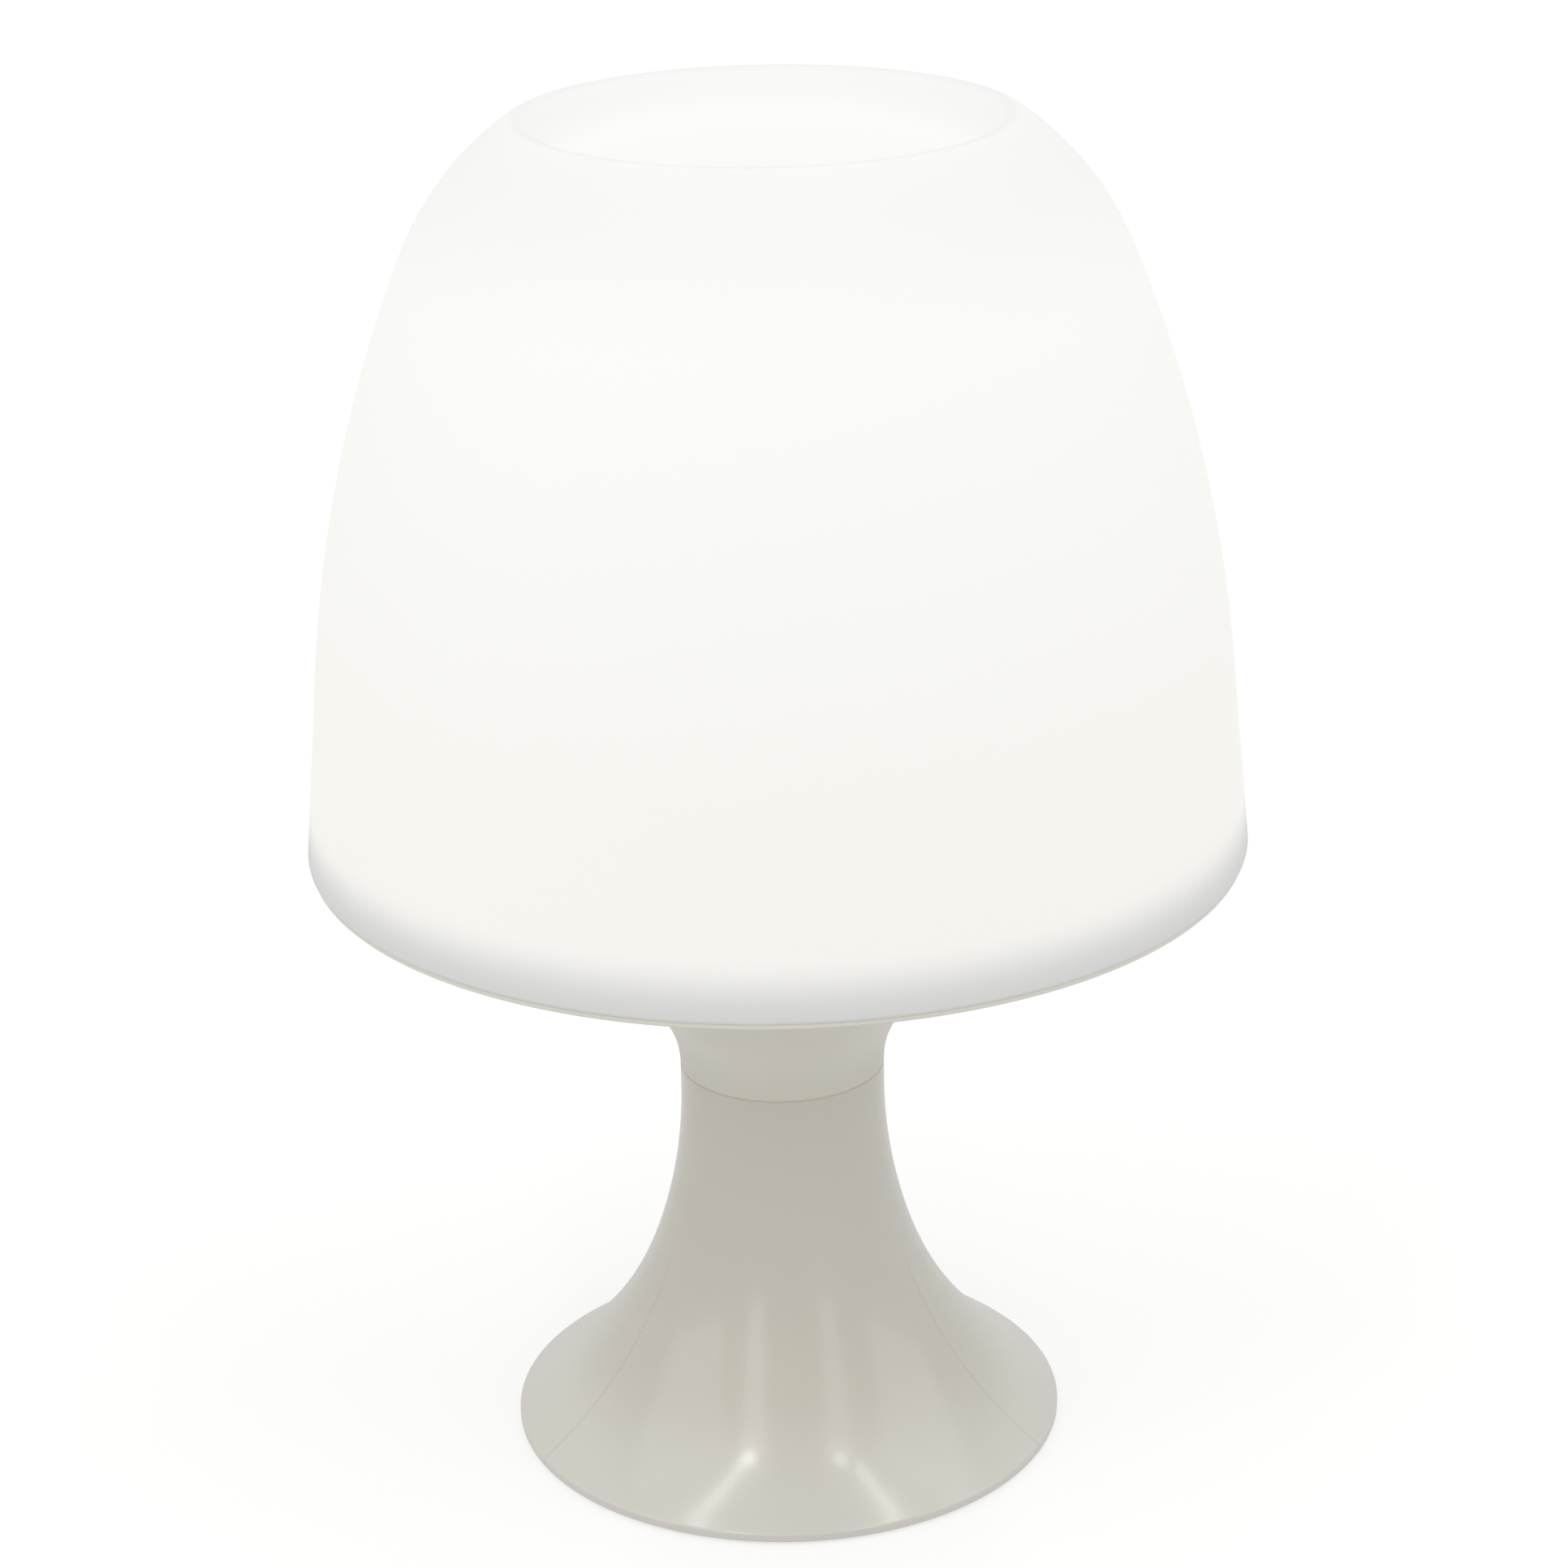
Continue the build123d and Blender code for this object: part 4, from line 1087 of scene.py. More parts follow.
def on_circle(graph: Graph, radius: Any, angle: Any, height: Any = 0.0) -> Socket:
    """Places a point by its distance from the axis and its direction.

    Args:
        graph: Graph of the tree.
        radius: Distance from the axis.
        angle: Direction in radians.
        height: Height of the point.

    Returns:
        The socket of the place.
    """
    across = graph.math("MULTIPLY", radius, graph.math("COSINE", angle))
    deep = graph.math("MULTIPLY", radius, graph.math("SINE", angle))
    return graph.add("ShaderNodeCombineXYZ", {"X": across, "Y": deep, "Z": height}).outputs[0]


def on_ring(graph: Graph, given: Any, piece: Any) -> Socket:
    """Repeats a piece round the axis by the inputs that each ring has.

    Args:
        graph: Graph of the tree.
        given: Input sockets of the tree by name.
        piece: Socket of the piece at the axis, facing +X.

    Returns:
        The socket of the copies.
    """
    index = graph.add("GeometryNodeInputIndex").outputs[0]
    step = graph.math("DIVIDE", math.tau, given["Count"])
    angle = graph.math("MULTIPLY_ADD", index, step, given["Start Angle"])
    spot = on_circle(graph, given["Circle Radius"], angle, given["Height"])
    places = graph.add("GeometryNodePoints", {"Count": given["Count"], "Position": spot})
    facing = graph.add("ShaderNodeCombineXYZ", {"Z": angle})
    copies = graph.add("GeometryNodeInstanceOnPoints", {"Points": places.outputs[0], "Instance": piece})
    graph.put(copies.inputs["Rotation"], facing.outputs[0])
    return copies.outputs[0]


def cut_away(graph: Graph, form: Any, tool: Any) -> Socket:
    """Cuts one form away from another.

    Args:
        graph: Graph of the tree.
        form: Socket of the form that is cut.
        tool: Socket of the form that is cut away.

    Returns:
        The socket of what is left.
    """
    less = graph.add("GeometryNodeMeshBoolean", operation="DIFFERENCE", solver="EXACT")
    graph.put(less.inputs["Mesh 1"], form)
    graph.put(less.inputs["Mesh 2"], tool)
    return less.outputs["Mesh"]


def turned_tree() -> Tree:
    """Builds the tree that turns an outline round the axis.

    Returns:
        A tree that takes the outline as a row of points in the XZ plane.
    """
    inputs = {
        "Segments": (WHOLE_NUMBER, DISC_SEGMENTS),
        "Points": (WHOLE_NUMBER, 2),
        "Merge Distance": (NUMBER, MERGE_DISTANCE),
        "Crease Angle": (NUMBER, CREASE_ANGLE),
    }
    graph, given = open_geometry("turned_form", inputs)
    columns = graph.math("ADD", given["Segments"], 1)
    grid = graph.add("GeometryNodeMeshGrid", {"Vertices X": columns, "Vertices Y": given["Points"]})
    index = graph.add("GeometryNodeInputIndex").outputs[0]
    row = graph.math("MODULO", index, given["Points"])
    column = graph.math("FLOOR", graph.math("DIVIDE", index, given["Points"]))
    place = graph.add("GeometryNodeInputPosition").outputs[0]
    sample = graph.add("GeometryNodeSampleIndex", data_type="FLOAT_VECTOR", domain="POINT")
    graph.put(sample.inputs["Geometry"], given["Geometry"])
    graph.put(sample.inputs["Value"], place)
    graph.put(sample.inputs["Index"], row)
    split = graph.add("ShaderNodeSeparateXYZ", {"Vector": sample.outputs[0]})
    angle = graph.math("MULTIPLY", graph.math("DIVIDE", column, given["Segments"]), math.tau)
    spot = on_circle(graph, split.outputs["X"], angle, split.outputs["Z"])
    formed = graph.add("GeometryNodeSetPosition", {"Geometry": grid.outputs["Mesh"], "Position": spot})
    merged = graph.add("GeometryNodeMergeByDistance", {"Geometry": formed.outputs[0]})
    graph.put(merged.inputs["Distance"], given["Merge Distance"])
    shaded = creased(graph, merged.outputs[0], given["Crease Angle"])
    return close_geometry(graph, shaded, given["Material"])


def ring_tree() -> Tree:
    """Builds the tree that repeats a piece round the axis.

    Returns:
        A tree that takes the piece at the axis, facing +X.
    """
    graph, given = open_geometry("ring_of_pieces", RING_INPUTS)
    copies = on_ring(graph, given, given["Geometry"])
    return close_geometry(graph, copies, given["Material"])


def pocket_tree() -> Tree:
    """Builds the tree that cuts a ring of square pockets.

    Returns:
        A tree that takes the piece that is cut.
    """
    inputs = RING_INPUTS | {"Pocket Size": ("NodeSocketVector", (0.002, 0.006, 0.002))}
    graph, given = open_geometry("ring_of_pockets", inputs)
    block = graph.add("GeometryNodeMeshCube", {"Size": given["Pocket Size"]})
    copies = on_ring(graph, given, block.outputs[0])
    blocks = graph.add("GeometryNodeRealizeInstances", {"Geometry": copies})
    pitted = cut_away(graph, given["Geometry"], blocks.outputs[0])
    return close_geometry(graph, creased(graph, pitted, CREASE_ANGLE), given["Material"])


def cross_tree() -> Tree:
    """Builds the tree that cuts a cross recess into a screw's head.

    Returns:
        A tree that takes a screw standing on the axis.
    """
    inputs = {
        "Recess Length": (NUMBER, 0.003),
        "Recess Width": (NUMBER, 0.001),
        "Recess Height": (NUMBER, 0.001),
        "Head Top": (NUMBER, 0.001),
    }
    graph, given = open_geometry("cross_recess", inputs)
    length = given["Recess Length"]
    width = given["Recess Width"]
    deep = graph.math("MULTIPLY", given["Recess Height"], 2.0)
    first = graph.add("ShaderNodeCombineXYZ", {"X": length, "Y": width, "Z": deep})
    second = graph.add("ShaderNodeCombineXYZ", {"X": width, "Y": length, "Z": deep})
    bar = graph.add("GeometryNodeMeshCube", {"Size": first.outputs[0]})
    crossbar = graph.add("GeometryNodeMeshCube", {"Size": second.outputs[0]})
    lift = graph.add("ShaderNodeCombineXYZ", {"Z": given["Head Top"]})
    cut = given["Geometry"]
    for tool in (bar, crossbar):
        marked = graph.add("GeometryNodeStoreNamedAttribute", data_type="FLOAT", domain="FACE")
        graph.put(marked.inputs["Geometry"], tool.outputs[0])
        graph.put(marked.inputs["Name"], RECESS_MARK)
        graph.put(marked.inputs["Value"], 1.0)
        moved = graph.add("GeometryNodeTransform", {"Geometry": marked.outputs[0]})
        graph.put(moved.inputs["Translation"], lift.outputs[0])
        cut = cut_away(graph, cut, moved.outputs[0])
    return close_geometry(graph, creased(graph, cut, CREASE_ANGLE), given["Material"])


def drilled_tree() -> Tree:
    """Builds the tree that drills one upright hole through a piece.

    Returns:
        A tree that takes the piece that is drilled.
    """
    inputs = {
        "Hole Place": ("NodeSocketVector", (0.0, 0.0, 0.0)),
        "Hole Radius": (NUMBER, 0.001),
        "Hole Depth": (NUMBER, 0.01),
    }
    graph, given = open_geometry("drilled_hole", inputs)
    drill = graph.add("GeometryNodeMeshCylinder", {"Vertices": DRILL_SEGMENTS})
    graph.put(drill.inputs["Radius"], given["Hole Radius"])
    graph.put(drill.inputs["Depth"], given["Hole Depth"])
    moved = graph.add("GeometryNodeTransform", {"Geometry": drill.outputs[0]})
    graph.put(moved.inputs["Translation"], given["Hole Place"])
    open_form = cut_away(graph, given["Geometry"], moved.outputs[0])
    return close_geometry(graph, creased(graph, open_form, CREASE_ANGLE), given["Material"])


def bar_tree() -> Tree:
    """Builds the tree that makes a short bar from one closed section.

    Returns:
        A tree that takes the section in the XZ plane, with its ends meeting.
    """
    graph, given = open_geometry("short_bar", {"Bar Length": (NUMBER, 0.006)})
    quarter = math.pi / 2
    whole = graph.add("GeometryNodeMergeByDistance", {"Geometry": given["Geometry"]})
    graph.put(whole.inputs["Distance"], MERGE_DISTANCE)
    section = graph.add("GeometryNodeMeshToCurve", {"Mesh": whole.outputs[0]})
    laid = graph.add("GeometryNodeTransform", {"Geometry": section.outputs[0]})
    graph.put(laid.inputs["Rotation"], (-quarter, 0.0, 0.0))
    half = graph.math("DIVIDE", given["Bar Length"], 2.0)
    low = graph.add("ShaderNodeCombineXYZ", {"Z": graph.math("MULTIPLY", half, -1.0)})
    high = graph.add("ShaderNodeCombineXYZ", {"Z": half})
    line = graph.add("GeometryNodeCurvePrimitiveLine", {"Start": low.outputs[0], "End": high.outputs[0]})
    bar = graph.add("GeometryNodeCurveToMesh", {"Curve": line.outputs[0], "Profile Curve": laid.outputs[0]})
    graph.put(bar.inputs["Fill Caps"], True)
    raised = graph.add("GeometryNodeTransform", {"Geometry": bar.outputs[0]})
    graph.put(raised.inputs["Rotation"], (quarter, 0.0, 0.0))
    return close_geometry(graph, creased(graph, raised.outputs[0], CREASE_ANGLE), given["Material"])


@dataclass(frozen=True)
class Trees:
    """Geometry trees that the pieces are grown with.

    Attributes:
        turned: Turns an outline round the axis.
        ring: Repeats a piece round the axis.
        pockets: Cuts a ring of square pockets.
        cross: Cuts a cross recess.
        drilled: Drills a hole.
        bar: Makes a short bar from a section.
    """

    turned: Tree
    ring: Tree
    pockets: Tree
    cross: Tree
    drilled: Tree
    bar: Tree


TREES = Trees(turned_tree(), ring_tree(), pocket_tree(), cross_tree(), drilled_tree(), bar_tree())


@dataclass(frozen=True)
class Step:
    """One geometry tree with the values of its named inputs.

    Attributes:
        tree: Geometry tree.
        finish: Finish of what it makes.
        values: Values of its other inputs by name.
    """

    tree: Tree
    finish: Finish
    values: dict[str, Any]


def turned(points: list[Point], segments: int, finish: Finish) -> Step:
    """Describes the turning of an outline with a number of segments round the axis."""
    return Step(TREES.turned, finish, {"Segments": segments, "Points": len(points)})


def ring(places: int, radius: float, start: float, height: float, finish: Finish) -> Step:
    """Describes the repeating of a piece round the axis.

    Args:
        places: Number of copies.
        radius: Distance of the copies from the axis.
        start: Direction of the first copy.
        height: Height that the copies are lifted by.
        finish: Finish of the copies.

    Returns:
        The step.
    """
    values = {
        "Count": places,
        "Circle Radius": radius,
        "Start Angle": math.radians(start),
        "Height": height,
    }
    return Step(TREES.ring, finish, values)


def drilled(place: Place, radius: float, depth: float, finish: Finish) -> Step:
    """Describes an upright hole by its middle, its radius and its depth."""
    values = {"Hole Place": place, "Hole Radius": radius, "Hole Depth": depth}
    return Step(TREES.drilled, finish, values)


def grow(name: str, points: list[Point], steps: list[Step]) -> Piece:
    """Grows a piece from an outline by geometry trees and makes it a plain mesh.

    Args:
        name: Name of the piece.
        points: Outline in radius and height.
        steps: Geometry trees in order.

    Returns:
        The piece, at the origin.
    """
    outline = bpy.data.meshes.new(f"{name}_outline")
    links = [(index, index + 1) for index in range(len(points) - 1)]
    outline.from_pydata([(radius, 0.0, height) for radius, height in points], links, [])
    source = bpy.data.objects.new(f"{name}_source", outline)
    bpy.context.scene.collection.objects.link(source)
    for step in steps:
        modifier = source.modifiers.new(step.tree.name, "NODES")
        modifier.node_group = step.tree
        values = step.values | {"Material": step.finish.material()}
        for socket in step.tree.interface.items_tree:
            if socket.in_out == "INPUT" and socket.name in values:
                modifier[socket.identifier] = values[socket.name]
    return plain(source, name)


def plain(source: Piece, name: str) -> Piece:
    """Turns an object with its modifiers into a plain mesh in one material, with its faces outwards.

    Args:
        source: Object that is used up.
        name: Name of the new piece.

    Returns:
        The piece.

    Raises:
        ValueError: If the piece has come out empty.
    """
    depsgraph = bpy.context.evaluated_depsgraph_get()
    mesh = bpy.data.meshes.new_from_object(source.evaluated_get(depsgraph), depsgraph=depsgraph)
    if not mesh.polygons:
        raise ValueError(f"{name} has no faces")
    mesh.name = name
    bpy.data.objects.remove(source)
    last_material = [material for material in mesh.materials if material][-1]
    mesh.materials.clear()
    mesh.materials.append(last_material)
    mesh.polygons.foreach_set("material_index", [0] * len(mesh.polygons))
    made = bmesh.new()
    made.from_mesh(mesh)
    bmesh.ops.recalc_face_normals(made, faces=made.faces)
    made.to_mesh(mesh)
    made.free()
    piece = bpy.data.objects.new(name, mesh)
    bpy.context.scene.collection.objects.link(piece)
    return piece


def seat(piece: Piece, node: str) -> None:
    """Puts a finished piece on the lamp's body.

    Args:
        piece: Piece at the origin.
        node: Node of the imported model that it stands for.
    """
    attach(piece, LAMP_BODY)
    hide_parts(node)
    log.info("%s: %d faces for %s", piece.name, len(piece.data.polygons), node)


def dress(node: str, finish: Finish) -> None:
    """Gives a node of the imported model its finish.

    Args:
        node: Name of the node.
        finish: Finish that it gets.
    """
    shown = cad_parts[node]
    shown.data.materials.clear()
    shown.data.materials.append(finish.material())
    log.info("%s: dressed in %s", node, finish.slot.value)


# Sub-assemblies


@dataclass
class Shade:
    """Bell shade with a dished top, moulded in one thin wall.

    Attributes:
        radius: Outer radius at the lower edge.
        wall: Thickness of the wall.
        edge_round: Rounding of the lower edge.
        side_angle: Lean of the lower side.
        side_height: Height of the straight lower side.
        shoulder_angle: Lean where the flank meets the brow.
        crest_angle: Lean where the brow meets the crest.
        crest_radius: Radius of the crest.
        crest_round: Rounding of the crest.
        dish_depth: Depth of the dish.
        dish_slope: Slope of the dish's wall.
        dish_round: Rounding at the foot of the dish's wall.
        floor_shares: Shares of the dish floor's radius where it has a ring of edges.
        segments: Segments round the axis.
    """

    radius: float = 0.080
    wall: float = 0.0016
    edge_round: float = 0.0008
    side_angle: float = 5.4
    side_height: float = 0.0326
    shoulder_angle: float = 22.6
    crest_angle: float = 55.4
    crest_radius: float = 0.0403
    crest_round: float = 0.003
    dish_depth: float = 0.0071
    dish_slope: float = 60.0
    dish_round: float = 0.006
    floor_shares: tuple[float, ...] = (0.66, 0.33, 0.0)
    segments: int = 192

    def __post_init__(self) -> None:
        """Reads the shade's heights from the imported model."""
        low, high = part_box("shade")
        self.foot_height = low.z
        self.top_height = high.z

    def skin(self, inset: float) -> list[Point]:
        """Draws the shade's surface from its lower edge to the axis.

        Args:
            inset: Distance of the surface inside the outer one.

        Returns:
            The outline's points.
        """
        lean = math.radians(self.side_angle)
        crest = math.radians(self.crest_angle)
        angles = (90 + self.side_angle, 90 + self.shoulder_angle, 90 + self.crest_angle)
        side_top = (self.radius - self.side_height * math.tan(lean), self.foot_height + self.side_height)
        crest_centre = self.top_height - self.crest_round
        crest_reach = self.crest_radius + self.crest_round * math.cos(crest)
        crest_start = (crest_reach, crest_centre + self.crest_round * math.sin(crest))
        side, shoulder = two_arcs(side_top, crest_start, angles)
        curve_drop = (self.crest_round + self.dish_round) * (1 - math.cos(math.radians(self.dish_slope)))
        dish_wall = (self.dish_depth - curve_drop) / math.sin(math.radians(self.dish_slope))
        line = Outline(self.radius - inset / math.cos(lean), self.foot_height)
        line.to(side_top[0] - inset * math.cos(lean), side_top[1] - inset * math.sin(lean))
        line.arc(side - inset, angles[1] - angles[0]).arc(shoulder - inset, angles[2] - angles[1])
        line.arc(self.crest_round - inset, 180 + self.dish_slope - angles[2]).ahead(dish_wall)
        line.arc(self.dish_round + inset, -self.dish_slope)
        floor_height = line.height
        floor_radius = line.radius
        for share in self.floor_shares:
            line.to(floor_radius * share, floor_height)
        return line.points

    def outline(self) -> list[Point]:
        """Draws the wall's section from the inside of the dish to its outside.

        Returns:
            The outline's points.
        """
        turn = 90 + self.side_angle
        reach = self.edge_round * math.tan(math.radians(turn / 2))
        edge = Outline(self.radius - reach, self.foot_height).arc(self.edge_round, turn)
        return self.skin(self.wall)[::-1] + edge.points + self.skin(0.0)[1:]

    def build(self, pockets: Step) -> None:
        """Builds the shade and puts it on the lamp.

        Args:
            pockets: Step that cuts the pockets for the tray's snaps.
        """
        points = self.outline()
        piece = grow("bell_shade", points, [turned(points, self.segments, PALETTE.shade), pockets])
        seat(piece, "shade")


@dataclass
class Base:
    """Trumpet base with its diaphragm and screw bosses.

    Attributes:
        neck_radius: Radius of the neck.
        wall: Thickness of the wall.
        rim_top: Height of the rim's upper edge.
        rim_round: Rounding of the rim's upper edge.
        edge_round: Rounding of the rim's lower edge.
        neck_length: Length of the neck's straight top.
        waist_angle: Lean where the waist meets the flare.
        foot_angle: Slope of the flare at the rim.
        seam: Width of the bevel at the joint with the tray.
        rib_inner: Inner radius of the rib that holds the base plate.
        rib_outer: Outer radius of that rib.
        boss_radius: Radius of a screw boss.
        boss_bore: Radius of a boss's hole.
        boss_circle: Distance of the bosses from the axis.
        boss_count: Number of bosses.
        diaphragm_low: Height of the diaphragm's underside.
        diaphragm_high: Height of its top.
        segments: Segments round the axis.
    """

    neck_radius: float = 0.0178
    wall: float = 0.0020
    rim_top: float = 0.0020
    rim_round: float = 0.0006
    edge_round: float = 0.0003
    neck_length: float = 0.0042
    waist_angle: float = 19.4
    foot_angle: float = 33.2
    seam: float = 0.0002
    rib_inner: float = 0.04255
    rib_outer: float = 0.04405
    boss_radius: float = 0.0035
    boss_bore: float = 0.00165
    boss_circle: float = 0.03405
    boss_count: int = 4
    diaphragm_low: float = 0.0584
    diaphragm_high: float = 0.0604
    segments: int = 192

    def __post_init__(self) -> None:
        """Reads the base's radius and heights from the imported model."""
        low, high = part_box("base_shell")
        self.rim_low = low.z
        self.radius = high.x
        self.neck_top = high.z
        self.plate_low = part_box("base_plate")[0].z

    def skin(self, inset: float) -> list[Point]:
        """Draws the flaring surface from the neck's top to the rim.

        Args:
            inset: Distance of the surface inside the outer one.

        Returns:
            The outline's points.
        """
        angles = (270.0, 270 + self.waist_angle, 360 - self.foot_angle)
        top = (self.neck_radius, self.neck_top - self.neck_length)
        upper, lower = two_arcs(top, (self.radius, self.rim_top), angles)
        line = Outline(self.neck_radius - inset, self.neck_top).to(self.neck_radius - inset, top[1])
        line.heading = angles[0]
        line.arc(upper + inset, self.waist_angle).arc(lower + inset, angles[2] - angles[1])
        return line.points

    def wall_height(self, radius: float) -> float:
        """Finds the height of the inner wall at a radius.

        Args:
            radius: Distance from the axis.

        Returns:
            The height.
        """
        inner = self.skin(self.wall)
        for (near, high), (far, low) in zip(inner, inner[1:]):
            if near <= radius <= far and far > near:
                return high + (low - high) * (radius - near) / (far - near)
        return inner[-1][1]

    def outline(self) -> list[Point]:
        """Draws the shell's section as one closed loop from the neck's inner edge.

        Returns:
            The outline's points, the last one the same as the first.
        """
        outer = self.skin(0.0)
        inner = self.skin(self.wall)
        turn = 90 - self.foot_angle
        reach = self.rim_round * math.tan(math.radians(turn / 2))
        flare = [point for point in outer[1:] if point[0] < self.radius - reach]
        slope = math.radians(self.foot_angle)
        rim = Outline(self.radius - reach * math.cos(slope), self.rim_top + reach * math.sin(slope))
        rim.heading = -self.foot_angle
        rim.arc(self.rim_round, -turn).to(self.radius, self.rim_low + self.edge_round)
        rim.arc(self.edge_round, -90)
        inside = [point for point in inner if point[1] > self.rim_low][::-1]
        rib_outer = (self.rib_outer, self.wall_height(self.rib_outer))
        rib_inner = (self.rib_inner, self.wall_height(self.rib_inner))
        rib = [rib_outer, (self.rib_outer, self.plate_low), (self.rib_inner, self.plate_low), rib_inner]
        lower = [point for point in inside if point[0] > self.rib_outer]
        upper = [point for point in inside if point[0] < self.rib_inner]
        foot = [(lower[0][0], self.rim_low)] if lower else []
        bevel = [(self.neck_radius - self.seam, self.neck_top), (self.neck_radius, self.neck_top - self.seam)]
        start = [(self.neck_radius - self.wall, self.neck_top)]
        return start + bevel + flare + rim.points + foot + lower + rib + upper

    def build(self) -> None:
        """Builds the shell, its diaphragm and its bosses and puts them on the lamp."""
        points = self.outline()
        shell = grow("trumpet_base", points, [turned(points, self.segments, PALETTE.shell)])
        seat(shell, "base_shell")
        bore = self.neck_radius - self.wall
        disc = Outline(0.0, self.diaphragm_low).to(bore, self.diaphragm_low)
        disc.to(bore, self.diaphragm_high).to(0.0, self.diaphragm_high)
        steps = [turned(disc.points, DISC_SEGMENTS, PALETTE.shell)]
        middle = (self.diaphragm_low + self.diaphragm_high) / 2
        for place, radius in Fixings().diaphragm_holes(middle):
            steps.append(drilled(place, radius, 2 * self.wall, PALETTE.shell))
        seat(grow("neck_diaphragm", disc.points, steps), "base_shell")
        foot = self.plate_low + self.wall
        top = self.wall_height(self.boss_circle - self.boss_radius) + self.wall / 2
        boss = Outline(self.boss_bore, foot).to(self.boss_radius, foot).to(self.boss_radius, top)
        boss.to(self.boss_bore, top).to(self.boss_bore, foot)
        copies = ring(self.boss_count, self.boss_circle, 0.0, 0.0, PALETTE.shell)
        tube = turned(boss.points, TUBE_SEGMENTS, PALETTE.shell)
        bosses = grow("base_bosses", boss.points, [tube, copies])
        for vertex in bosses.data.vertices:
            if vertex.co.z > (foot + top) / 2:
                vertex.co.z = self.wall_height(math.hypot(vertex.co.x, vertex.co.y)) + self.wall / 2
        seat(bosses, "base_shell")


@dataclass(frozen=True)
class Fixings:
    """Places of the fixings in the neck.

    Attributes:
        count: Number of screws in each ring.
        start: Direction of the first screw.
        boss_circle: Distance of the neck's screws from the axis.
        post_circle: Distance of the board's screws from the axis.
        bore: Radius of a screw's hole.
        tag_place: Distance of the positive terminal's tag from the axis.
        tag_bore: Radius of the tag's hole.
        lane_place: Place of the switched wire's hole.
        wire_place: Distance of the positive wire's hole from the axis.
        wire_bore: Radius of a wire's hole.
    """

    count: int = 3
    start: float = 30.0
    boss_circle: float = 0.0110
    post_circle: float = 0.0130
    bore: float = 0.0014
    tag_place: float = 0.0036
    tag_bore: float = 0.0010
    lane_place: Point = (0.0028, 0.01335)
    wire_place: float = 0.0060
    wire_bore: float = 0.00095

    def diaphragm_holes(self, height: float) -> list[tuple[Place, float]]:
        """Lists the diaphragm's holes.

        Args:
            height: Height of the diaphragm's middle.

        Returns:
            The place and the radius of each hole.
        """
        screws = [(place, self.bore) for place in around(self.boss_circle, self.count, self.start, height)]
        tag = ((self.tag_place, 0.0, height), self.tag_bore)
        lane = ((*self.lane_place, height), self.wire_bore)
        return screws + [tag, lane]

    def web_holes(self, height: float) -> list[tuple[Place, float]]:
        """Lists the place and the radius of each wire's hole in the tray's web."""
        places = ((*self.lane_place, height), (self.wire_place, 0.0, height))
        return [(place, self.wire_bore) for place in places]


